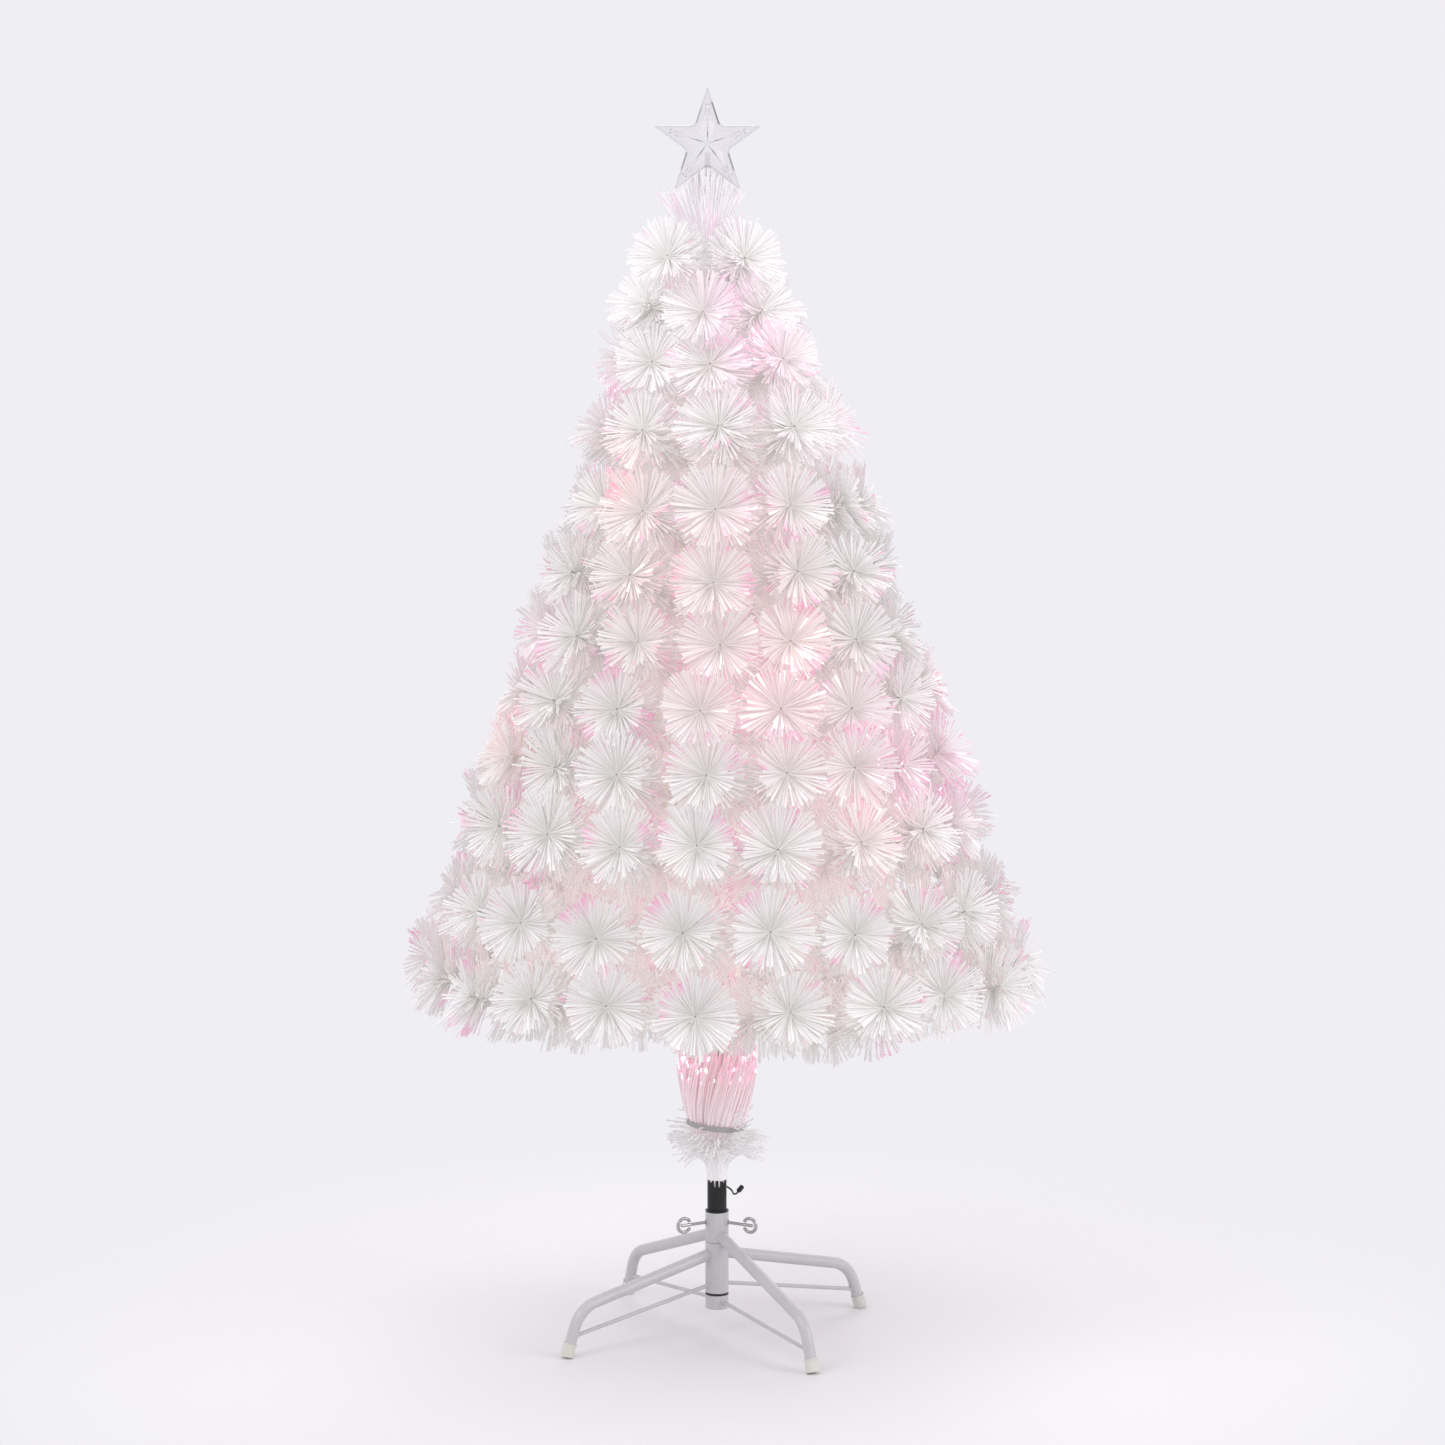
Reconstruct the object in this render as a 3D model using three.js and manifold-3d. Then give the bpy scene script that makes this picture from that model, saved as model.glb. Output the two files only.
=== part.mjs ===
// White fibre optic tree on a folding four legged stand, in millimetres, +Z up.
// The origin is the pole axis at floor level, and the front of the tree faces -Y.

import * as THREE from 'three';
import { mergeVertices } from 'three/addons/utils/BufferGeometryUtils.js';
import Module from 'manifold-3d';

// Fits
const CLEARANCE = 0.3;
const CUT_OVERRUN = 4;

// Pole, hub tubes and sleeves
const POLE_RADIUS = 11.7;
const POLE_WALL = 1.2;
const POLE_TOP_Z = 191;
const INNER_TUBE_WALL = 0.7;
const INNER_TUBE_FLOOR = 2;
const DRAIN_HOLE_RADIUS = 3;
const SLEEVE_WALL = 1.2;
const HUB_BOTTOM_Z = 31;
const COLLAR_HEIGHT = 17;
const WASHER_THICKNESS = 2.4;
const LOWER_SLEEVE_HEIGHT = 62.7;
const UPPER_SLEEVE_HEIGHT = 37;
const BUSHING_SKIRT = 6;
const BUSHING_FLANGE = 1.4;
const TUBE_SIDES = 20;

// Legs, braces and foot caps
const LEG_RADIUS = 7;
const LEG_SIDES = 10;
const KNEE_REACH = 193.5;
const FOOT_FLARE = 18.2;
const KNEE_Z = 57.5;
const KNEE_BEND_RADIUS = 40;
const KNEE_STEPS = 5;
const LOW_LEG_ROOT_Z = 98;
const HIGH_LEG_ROOT_Z = 120;
const BRACE_RADIUS = 2.5;
const BRACE_SIDES = 6;
const BRACE_FOOT_HEIGHT = 25;
const LOW_BRACE_HUB_Z = 41;
const HIGH_BRACE_HUB_Z = 60;
const FOOT_CAP_WALL = 0.9;
const FOOT_CAP_FLOOR = 2.5;
const FOOT_CAP_DEPTH = 14;
const FOOT_CAP_LIP = 0.6;
const FOOT_CAP_LIP_HEIGHT = 1.6;
const FOOT_GRIND = 0.9;
const FOOT_CAP_SIDES = 12;
const HIGH_PAIR_AZIMUTH = -57.7;
const LOW_PAIR_AZIMUTH = 32.3;

// Thumbscrews with an eye for the fingers
const SCREW_Z = 138.8;
const SCREW_RADIUS = 2;
const SCREW_SIDES = 8;
const SCREW_BOSS_RADIUS = 4.2;
const SCREW_BOSS_RISE = 1.4;
const EYE_DISTANCE = 45.9;
const EYE_RING_RADIUS = 8.45;
const EYE_WIRE_RADIUS = 2.05;
const EYE_WIRE_SIDES = 6;
const EYE_STEPS = 12;
const SCREW_END_GAP = 2.2;
const SCREW_AZIMUTHS = { right: -30, left: 210, back: 90 };

// Light engine and lead inside the pole
const LIGHT_BODY_LENGTH = 30;
const LIGHT_LENS_HEIGHT = 7;
const LIGHT_LENS_RADIUS = 6.5;
const FERRULE_LENGTH = 18;
const FERRULE_RECESS = 3;
const BACKING_THICKNESS = 3;
const POLE_NOTCH_WIDTH = 1.7;
const POLE_NOTCH_DEPTH = 8.5;
const POLE_NOTCH_SPACING = 5.4;
const LEAD_AZIMUTH = 55;
const LEAD_RADIUS = 1.1;
const LEAD_SIDES = 8;
const LEAD_STEPS = 9;
const GROMMET_Z = 178.5;
const GROMMET_NECK_RADIUS = 2.2;
const GROMMET_FLANGE_RADIUS = 3.3;
const GROMMET_FLANGE_THICKNESS = 1;
const GROMMET_SIDES = 8;
const CONNECTOR_LENGTH = 9.5;
const CONNECTOR_RADIUS = 3;
const CONNECTOR_NECK_RADIUS = 1.7;
const CONNECTOR_BORE_RADIUS = 1.4;
const CONNECTOR_BORE_DEPTH = 6;
const CONNECTOR_SIDES = 10;
const LEAD_ROUTE = [
  [9.2, 13.1, 178.3],
  [11.8, 15.7, 177.3],
  [14.6, 16.6, 175.6],
  [17.6, 15, 173.4],
  [19, 11.2, 171.9],
  [19.8, 7, 171.2],
  [21.5, 3.7, 171.2],
  [23.7, 1.9, 172.2],
  [25.3, 0.8, 174.5],
];

// Trunk
const ROD_RADIUS = 4;
const ROD_TOP_Z = 1382.7;
const ROD_SIDES = 8;
const ROD_STEPS = 12;
const LEAN_X = -11;
const LEAN_START_Z = 500;
const LEAN_END_Z = 1330;

// Brush at the foot of the bundle
const BRUSH_STRAND_RADIUS = 0.5;
const BRUSH_RING_STRANDS = 38;
const BRUSH_ROOT_PITCH = 1.2;
const BRUSH_NECK_HEIGHT = 6;
const BRUSH_NECK_RISE = 2;
const BRUSH_BEND_REACH = 2.4;
const BRUSH_REACHES = [62, 60, 52];
const BRUSH_RISES = [34, 54, 70];

// Fibre bundle and its tie
const BUNDLE_TOP_RADIUS = 44;
const BUNDLE_FLARE_START_Z = 203;
const BUNDLE_FLARE_END_Z = 345;
const BUNDLE_FLARE_POWER = 2.6;
const BUNDLE_OUTER_STRANDS = 30;
const BUNDLE_INNER_STRANDS = 24;
const BUNDLE_INNER_SHARE = 0.78;
const BUNDLE_STEPS = 4;
const BUNDLE_STEP_POWER = 1.5;
const BUNDLE_STRAND_ROOT_RADIUS = 0.55;
const BUNDLE_STRAND_TOP_RADIUS = 1.7;
const TIE_Z = 260;
const TIE_HEIGHT = 5;
const TIE_THICKNESS = 1.6;
const TIE_TILT = 6.5;

// Branch tiers, counted from the lowest
const TIER_BRANCH_COUNTS = [20, 20, 19, 17, 15, 14, 12, 11, 9, 8, 6, 4];
const TIER_TIP_HEIGHTS = [458, 544, 640, 718, 790, 863, 936, 1014, 1109, 1184, 1243, 1300];
const TIER_TURN_SHARES = [0.71, 0.49, 0.97, 0.45, 0.97, 0.49, 0.93, 0.21, 0.69, 0.96, 0.38, 0.5];
const FOLIAGE_BASE_REACH = 377;
const FOLIAGE_TOP_REACH = 98;
const FOLIAGE_BULGE_SHARE = 0.14;
const LOWEST_BRANCH_RISE = 8;
const HIGHEST_BRANCH_RISE = 30;
const TRUNK_BASE_RADIUS = 30;
const TRUNK_TOP_RADIUS = 9;
const TRUNK_SIDES = 8;
const TRUNK_SKIRT = 12;
const WIRE_RADIUS = 2;
const WIRE_SIDES = 3;
const HEAD_RADIUS = 37;
const HEAD_DEPTH = 20;
const HEAD_PETAL_COUNT = 6;
const HEAD_VALLEY_SHARE = 0.78;
const HEAD_VALLEY_DEPTH_SHARE = 0.6;
const HEAD_DISH_DEPTH = 6;

// Plume at the top of the trunk
const PLUME_BACKING_THICKNESS = 5;
const PLUME_ROOT_PITCH = 1.2;
const PLUME_STRAND_RADIUS = 0.5;
const PLUME_RING_STRANDS = [30, 34, 40, 28];
const PLUME_REACHES = [15, 26, 38, 56];
const PLUME_TIP_RISES = [12.6, 4.6, -1.4, -30.4];
const PLUME_BEND_SHARE = 0.42;
const PLUME_BEND_REACH_SHARE = 0.27;

// Star
const STAR_RADIUS = 64.5;
const STAR_SEAT_SHARE = 0.8186;
const STAR_POINTS = 5;
const STAR_INNER_SHARE = 0.382;
const STAR_RIM_DEPTH = 5.5;
const STAR_CENTRE_DEPTH = 14;
const STAR_RAISED_SHARE = 0.66;
const STAR_WALL = 1.6;
const STEM_WALL = 1.3;
const STEM_SOCKET_LENGTH = 34;
const STEM_ROOF = 2;
const STEM_PIN_RADIUS = 3;
const STEM_PIN_LENGTH = 40;
const STEM_SIDES = 10;

// Colours, roughness and metalness
const FINISHES = {
  paintedSteel: { color: 0xc9c8cf, roughness: 0.35, metalness: 0.1 },
  chrome: { color: 0xc4c2c0, roughness: 0.18, metalness: 1 },
  blackTube: { color: 0x323233, roughness: 0.45, metalness: 0 },
  blackPlastic: { color: 0x161617, roughness: 0.5, metalness: 0 },
  footPlastic: { color: 0xd3d2cc, roughness: 0.5, metalness: 0 },
  board: { color: 0xe4e0d2, roughness: 0.5, metalness: 0 },
  ferrule: { color: 0xd8d8da, roughness: 0.4, metalness: 0 },
  trunkSteel: { color: 0x77736c, roughness: 0.5, metalness: 0.8 },
  fibre: { color: 0xf6f2f5, roughness: 0.3, metalness: 0 },
  litFibre: { color: 0xf3a8d4, roughness: 0.3, metalness: 0 },
  tie: { color: 0x9a969b, roughness: 0.5, metalness: 0 },
  clearPlastic: { color: 0xe9e7ec, roughness: 0.15, metalness: 0 },
};

const wasm = await Module();
wasm.setup();

const rad = THREE.MathUtils.degToRad;

// Sizes worked out from the named ones
const poleBore = POLE_RADIUS - POLE_WALL;
const innerTubeBore = POLE_RADIUS + CLEARANCE;
const innerTubeRadius = innerTubeBore + INNER_TUBE_WALL;
const sleeveBore = innerTubeRadius + CLEARANCE;
const sleeveRadius = sleeveBore + SLEEVE_WALL;
const collarTopZ = HUB_BOTTOM_Z + COLLAR_HEIGHT;
const washerZ = collarTopZ + CLEARANCE;
const lowerSleeveZ = washerZ + WASHER_THICKNESS + CLEARANCE;
const upperSleeveZ = lowerSleeveZ + LOWER_SLEEVE_HEIGHT + CLEARANCE;
const upperSleeveTopZ = upperSleeveZ + UPPER_SLEEVE_HEIGHT;
const bushingSkirtZ = upperSleeveTopZ - BUSHING_SKIRT;
const innerTubeTopZ = bushingSkirtZ - CLEARANCE;
const poleBottomZ = HUB_BOTTOM_Z + INNER_TUBE_FLOOR + CLEARANCE;
const insertRadius = poleBore - CLEARANCE;
const rodBore = ROD_RADIUS + CLEARANCE;
const bundleBackingZ = POLE_TOP_Z - BACKING_THICKNESS;
const ferruleZ = bundleBackingZ - CLEARANCE - FERRULE_LENGTH;
const lightTopZ = ferruleZ - CLEARANCE;
const rodBottomZ = ferruleZ + FERRULE_RECESS + CLEARANCE;
const brushBackingZ = POLE_TOP_Z + CLEARANCE;
const starCentreZ = ROD_TOP_Z + STAR_RADIUS * STAR_SEAT_SHARE;
const lastTier = TIER_BRANCH_COUNTS.length - 1;

// Smooth step from 0 to 1
function ease(share) {
  const s = THREE.MathUtils.clamp(share, 0, 1);
  return s * s * (3 - 2 * s);
}

// Sideways lean of the trunk at height z
function leanAt(z) {
  return LEAN_X * ease((z - LEAN_START_Z) / (LEAN_END_Z - LEAN_START_Z));
}

// Shears a tree geometry along the leaning trunk
function leaned(geometry) {
  const place = geometry.attributes.position;
  for (let i = 0; i < place.count; i += 1) {
    place.setX(i, place.getX(i) + leanAt(place.getZ(i)));
  }
  return geometry;
}

// Keeps positions only, joins shared corners and drops triangles with no area
function welded(geometry) {
  const bare = new THREE.BufferGeometry();
  bare.setAttribute('position', geometry.attributes.position);
  if (geometry.index) bare.setIndex(geometry.index);
  const joined = mergeVertices(bare);
  const corners = joined.index.array;
  const kept = [];
  for (let i = 0; i < corners.length; i += 3) {
    const [a, b, c] = corners.slice(i, i + 3);
    if (a !== b && b !== c && c !== a) kept.push(a, b, c);
  }
  joined.setIndex(kept);
  return facingOut(joined);
}

// Turns the triangles over where the enclosed volume comes out negative
function facingOut(geometry) {
  const place = geometry.attributes.position;
  const corners = geometry.index.array;
  const [a, b, c] = [new THREE.Vector3(), new THREE.Vector3(), new THREE.Vector3()];
  let volume = 0;
  for (let i = 0; i < corners.length; i += 3) {
    a.fromBufferAttribute(place, corners[i]);
    b.fromBufferAttribute(place, corners[i + 1]);
    c.fromBufferAttribute(place, corners[i + 2]);
    volume += a.dot(b.cross(c));
  }
  if (volume < 0) geometry.setIndex(Array.from(corners).reverse());
  return geometry;
}

// A solid for joining and cutting
function solid(geometry) {
  const shape = welded(geometry);
  const mesh = new wasm.Mesh({
    numProp: 3,
    vertProperties: new Float32Array(shape.attributes.position.array),
    triVerts: new Uint32Array(shape.index.array),
  });
  return new wasm.Manifold(mesh);
}

// A geometry from a joined or cut solid
function shapeOf(body) {
  const mesh = body.getMesh();
  const shape = new THREE.BufferGeometry();
  shape.setAttribute('position', new THREE.BufferAttribute(new Float32Array(mesh.vertProperties), 3));
  shape.setIndex(Array.from(mesh.triVerts));
  return shape;
}

function joined(geometries) {
  return shapeOf(wasm.Manifold.union(geometries.map(solid)));
}

function cut(geometry, cutters) {
  return shapeOf(cutters.reduce((body, cutter) => body.subtract(solid(cutter)), solid(geometry)));
}

// Profile of [radius, z] points turned about Z
function turned(profile, sides) {
  const points = profile.map(([radius, z]) => new THREE.Vector2(radius, z));
  return welded(new THREE.LatheGeometry(points, sides).rotateX(Math.PI / 2));
}

// Tube wall between two radii, from bottomZ to topZ
function tubeWall(bore, radius, bottomZ, topZ, sides) {
  return turned([[bore, bottomZ], [radius, bottomZ], [radius, topZ], [bore, topZ], [bore, bottomZ]], sides);
}

// Plain round bar along Z
function bar(radius, bottomZ, topZ, sides) {
  return turned([[0, bottomZ], [radius, bottomZ], [radius, topZ], [0, topZ]], sides);
}

// Faces between two rings of corners, which may differ in count; starts are their first corners
function bridge(nearStart, nearCount, farStart, farCount) {
  const faces = [];
  let [i, j] = [0, 0];
  while (i < nearCount || j < farCount) {
    const a = nearStart + (i % nearCount);
    const d = farStart + (j % farCount);
    if ((i + 1 / 2) * farCount <= (j + 1 / 2) * nearCount) {
      i += 1;
      if (nearCount > 1) faces.push(a, nearStart + (i % nearCount), d);
    } else {
      j += 1;
      if (farCount > 1) faces.push(a, farStart + (j % farCount), d);
    }
  }
  return faces;
}

// Skin through a row of rings of corners, closed at both ends; a ring of one point is a tip
function loft(rings) {
  const corners = [];
  const starts = rings.map((ring) => {
    corners.push(...ring);
    return corners.length - ring.length;
  });
  const faces = [];
  for (let i = 0; i + 1 < rings.length; i += 1) {
    faces.push(...bridge(starts[i], rings[i].length, starts[i + 1], rings[i + 1].length));
  }
  const lastStart = starts[rings.length - 1];
  for (let j = 1; j + 1 < rings[0].length; j += 1) faces.push(0, j + 1, j);
  for (let j = 1; j + 1 < rings[rings.length - 1].length; j += 1) {
    faces.push(lastStart, lastStart + j, lastStart + j + 1);
  }
  const shape = new THREE.BufferGeometry();
  const flat = corners.flatMap((corner) => [corner.x, corner.y, corner.z]);
  shape.setAttribute('position', new THREE.Float32BufferAttribute(flat, 3));
  shape.setIndex(faces);
  return facingOut(shape);
}

// Round bar along a path of [reach, z] points in the XZ plane, with a radius at each point
function bentBar(path, radii, sides) {
  const points = path.map(([reach, z]) => new THREE.Vector2(reach, z));
  const rings = points.map((point, i) => {
    const before = points[Math.max(i - 1, 0)];
    const after = points[Math.min(i + 1, points.length - 1)];
    const into = point.clone().sub(before).normalize();
    const out = after.clone().sub(point).normalize();
    const along = into.add(out).normalize();
    const normal = new THREE.Vector2(-along.y, along.x);
    return Array.from({ length: sides }, (_, k) => {
      const turn = (2 * Math.PI * k) / sides;
      const lift = radii[i] * Math.cos(turn);
      return new THREE.Vector3(
        point.x + normal.x * lift,
        radii[i] * Math.sin(turn),
        point.y + normal.y * lift,
      );
    });
  });
  return loft(rings);
}

function even(count, radius) {
  return Array.from({ length: count }, () => radius);
}

const model = new THREE.Group();

function addPiece(name, geometry, finish) {
  const shape = geometry.index ? geometry : welded(geometry);
  shape.computeVertexNormals();
  const mesh = new THREE.Mesh(shape, new THREE.MeshStandardMaterial(FINISHES[finish]));
  mesh.name = name;
  model.add(mesh);
  return mesh;
}

// Hub: collar, washer, two sleeves, inner tube and pole bushing
function screwBosses() {
  const reach = sleeveRadius + SCREW_BOSS_RISE;
  return Object.values(SCREW_AZIMUTHS).map((azimuth) => {
    const post = bar(SCREW_BOSS_RADIUS, sleeveBore + SLEEVE_WALL / 2, reach, SCREW_SIDES);
    return post.rotateY(Math.PI / 2).rotateZ(rad(azimuth)).translate(0, 0, SCREW_Z);
  });
}

function screwHoles() {
  const reach = sleeveRadius + SCREW_BOSS_RISE + CUT_OVERRUN;
  return Object.values(SCREW_AZIMUTHS).map((azimuth) => {
    const hole = bar(SCREW_RADIUS + CLEARANCE, poleBore, reach, SCREW_SIDES);
    return hole.rotateY(Math.PI / 2).rotateZ(rad(azimuth)).translate(0, 0, SCREW_Z);
  });
}

function addHub() {
  const collar = tubeWall(sleeveBore, sleeveRadius, HUB_BOTTOM_Z, collarTopZ, TUBE_SIDES);
  addPiece('hub_bottom_collar', collar, 'paintedSteel');

  const washer = tubeWall(sleeveBore, sleeveRadius, washerZ, washerZ + WASHER_THICKNESS, TUBE_SIDES);
  addPiece('hub_washer', washer, 'blackPlastic');

  const lowerTopZ = lowerSleeveZ + LOWER_SLEEVE_HEIGHT;
  const lowerSleeve = tubeWall(sleeveBore, sleeveRadius, lowerSleeveZ, lowerTopZ, TUBE_SIDES);
  addPiece('hub_lower_sleeve', lowerSleeve, 'paintedSteel');

  const sleeve = tubeWall(sleeveBore, sleeveRadius, upperSleeveZ, upperSleeveTopZ, TUBE_SIDES);
  const bossed = joined([sleeve, ...screwBosses()]);
  addPiece('hub_upper_sleeve', cut(bossed, screwHoles()), 'paintedSteel');

  const cup = turned([
    [DRAIN_HOLE_RADIUS, HUB_BOTTOM_Z],
    [innerTubeRadius, HUB_BOTTOM_Z],
    [innerTubeRadius, innerTubeTopZ],
    [innerTubeBore, innerTubeTopZ],
    [innerTubeBore, HUB_BOTTOM_Z + INNER_TUBE_FLOOR],
    [DRAIN_HOLE_RADIUS, HUB_BOTTOM_Z + INNER_TUBE_FLOOR],
    [DRAIN_HOLE_RADIUS, HUB_BOTTOM_Z],
  ], TUBE_SIDES);
  addPiece('hub_inner_tube', cut(cup, screwHoles()), 'paintedSteel');

  const flangeZ = upperSleeveTopZ + CLEARANCE;
  const bushing = turned([
    [innerTubeBore, bushingSkirtZ],
    [innerTubeRadius, bushingSkirtZ],
    [innerTubeRadius, flangeZ],
    [sleeveRadius, flangeZ],
    [sleeveRadius, flangeZ + BUSHING_FLANGE],
    [innerTubeBore, flangeZ + BUSHING_FLANGE],
    [innerTubeBore, bushingSkirtZ],
  ], TUBE_SIDES);
  addPiece('pole_bushing', bushing, 'blackPlastic');
}

// Centre line of a leg from the hub over the knee to the floor, with a round bend at the knee
function legPath(rootZ, endReach, endZ) {
  const root = new THREE.Vector2(sleeveRadius - SLEEVE_WALL, rootZ);
  const knee = new THREE.Vector2(KNEE_REACH, KNEE_Z);
  const foot = new THREE.Vector2(endReach, endZ);
  const back = root.clone().sub(knee).normalize();
  const down = foot.clone().sub(knee).normalize();
  const half = Math.acos(THREE.MathUtils.clamp(back.dot(down), -1, 1)) / 2;
  const setback = KNEE_BEND_RADIUS / Math.tan(half);
  const inward = back.clone().add(down).normalize();
  const centre = knee.clone().addScaledVector(inward, KNEE_BEND_RADIUS / Math.sin(half));
  const start = knee.clone().addScaledVector(back, setback);
  const finish = knee.clone().addScaledVector(down, setback);
  const from = start.clone().sub(centre).angle();
  const sweep = finish.clone().sub(centre).angle() - from;
  const bend = Array.from({ length: KNEE_STEPS + 1 }, (_, i) => {
    const turn = from + (sweep * i) / KNEE_STEPS;
    return [centre.x + KNEE_BEND_RADIUS * Math.cos(turn), centre.y + KNEE_BEND_RADIUS * Math.sin(turn)];
  });
  return [[root.x, root.y], ...bend, [foot.x, foot.y]];
}

// Direction in which the foot end of every leg points, and the places along it
const footDown = new THREE.Vector2(FOOT_FLARE, -KNEE_Z).normalize();
const footCapRadius = LEG_RADIUS + CLEARANCE + FOOT_CAP_WALL;
const footCapEnd = new THREE.Vector2(KNEE_REACH + FOOT_FLARE, footCapRadius * footDown.x - FOOT_GRIND);
const legEnd = footCapEnd.clone().addScaledVector(footDown, -(FOOT_CAP_FLOOR + CLEARANCE));

function footCap() {
  const bore = LEG_RADIUS + CLEARANCE;
  const top = FOOT_CAP_FLOOR + FOOT_CAP_DEPTH;
  const lipRadius = footCapRadius + FOOT_CAP_LIP;
  const cup = turned([
    [0, 0],
    [footCapRadius, 0],
    [footCapRadius, top - FOOT_CAP_LIP_HEIGHT],
    [lipRadius, top - FOOT_CAP_LIP_HEIGHT / 2],
    [footCapRadius, top],
    [bore, top],
    [bore, FOOT_CAP_FLOOR],
    [0, FOOT_CAP_FLOOR],
  ], FOOT_CAP_SIDES);
  const tilt = Math.atan2(-footDown.x, -footDown.y);
  const placed = cup.rotateY(tilt).translate(footCapEnd.x, 0, footCapEnd.y);
  const side = 2 * (footCapRadius + CUT_OVERRUN);
  const floor = new THREE.BoxGeometry(side, side, side).translate(footCapEnd.x, 0, -side / 2);
  return cut(placed, [floor]);
}

// Where the brace meets the inside of the leg
const braceFootReach = footCapEnd.x - (BRACE_FOOT_HEIGHT * footDown.x) / -footDown.y;

function hubCutter() {
  const topZ = upperSleeveTopZ + CUT_OVERRUN;
  return bar(sleeveRadius + CLEARANCE, HUB_BOTTOM_Z - CUT_OVERRUN, topZ, TUBE_SIDES);
}

function addLeg(side, azimuth, rootZ, braceHubZ) {
  const turn = rad(azimuth);
  const path = legPath(rootZ, legEnd.x, legEnd.y);
  const leg = bentBar(path, even(path.length, LEG_RADIUS), LEG_SIDES).rotateZ(turn);
  addPiece(`leg_${side}`, cut(leg, [hubCutter()]), 'paintedSteel');

  const bracePath = [[sleeveBore, braceHubZ], [braceFootReach, BRACE_FOOT_HEIGHT]];
  const brace = bentBar(bracePath, even(bracePath.length, BRACE_RADIUS), BRACE_SIDES).rotateZ(turn);
  const legSkin = bentBar(path, even(path.length, LEG_RADIUS + CLEARANCE), LEG_SIDES).rotateZ(turn);
  addPiece(`brace_${side}`, cut(brace, [hubCutter(), legSkin]), 'paintedSteel');

  addPiece(`foot_cap_${side}`, footCap().rotateZ(turn), 'footPlastic');
}

// Thumbscrew: a threaded shank, and a wire eye whose two ends are welded to it
function addThumbscrew(side, azimuth) {
  const turn = rad(azimuth);
  const eyeInner = EYE_DISTANCE + EYE_RING_RADIUS - EYE_WIRE_RADIUS;
  const shank = bar(SCREW_RADIUS, POLE_RADIUS + CLEARANCE, eyeInner - SCREW_END_GAP, SCREW_SIDES);
  shank.rotateY(Math.PI / 2).rotateZ(turn).translate(0, 0, SCREW_Z);
  addPiece(`thumbscrew_shank_${side}`, shank, 'chrome');

  const gap = Math.asin((SCREW_RADIUS + 2 * CLEARANCE) / (EYE_RING_RADIUS - EYE_WIRE_RADIUS));
  const path = Array.from({ length: EYE_STEPS + 1 }, (_, i) => {
    const angle = Math.PI + gap + ((2 * Math.PI - 2 * gap) * i) / EYE_STEPS;
    return [EYE_DISTANCE + EYE_RING_RADIUS * Math.cos(angle), SCREW_Z + EYE_RING_RADIUS * Math.sin(angle)];
  });
  const eye = bentBar(path, even(path.length, EYE_WIRE_RADIUS), EYE_WIRE_SIDES).rotateZ(turn);
  addPiece(`thumbscrew_eye_${side}`, eye, 'chrome');
}

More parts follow.
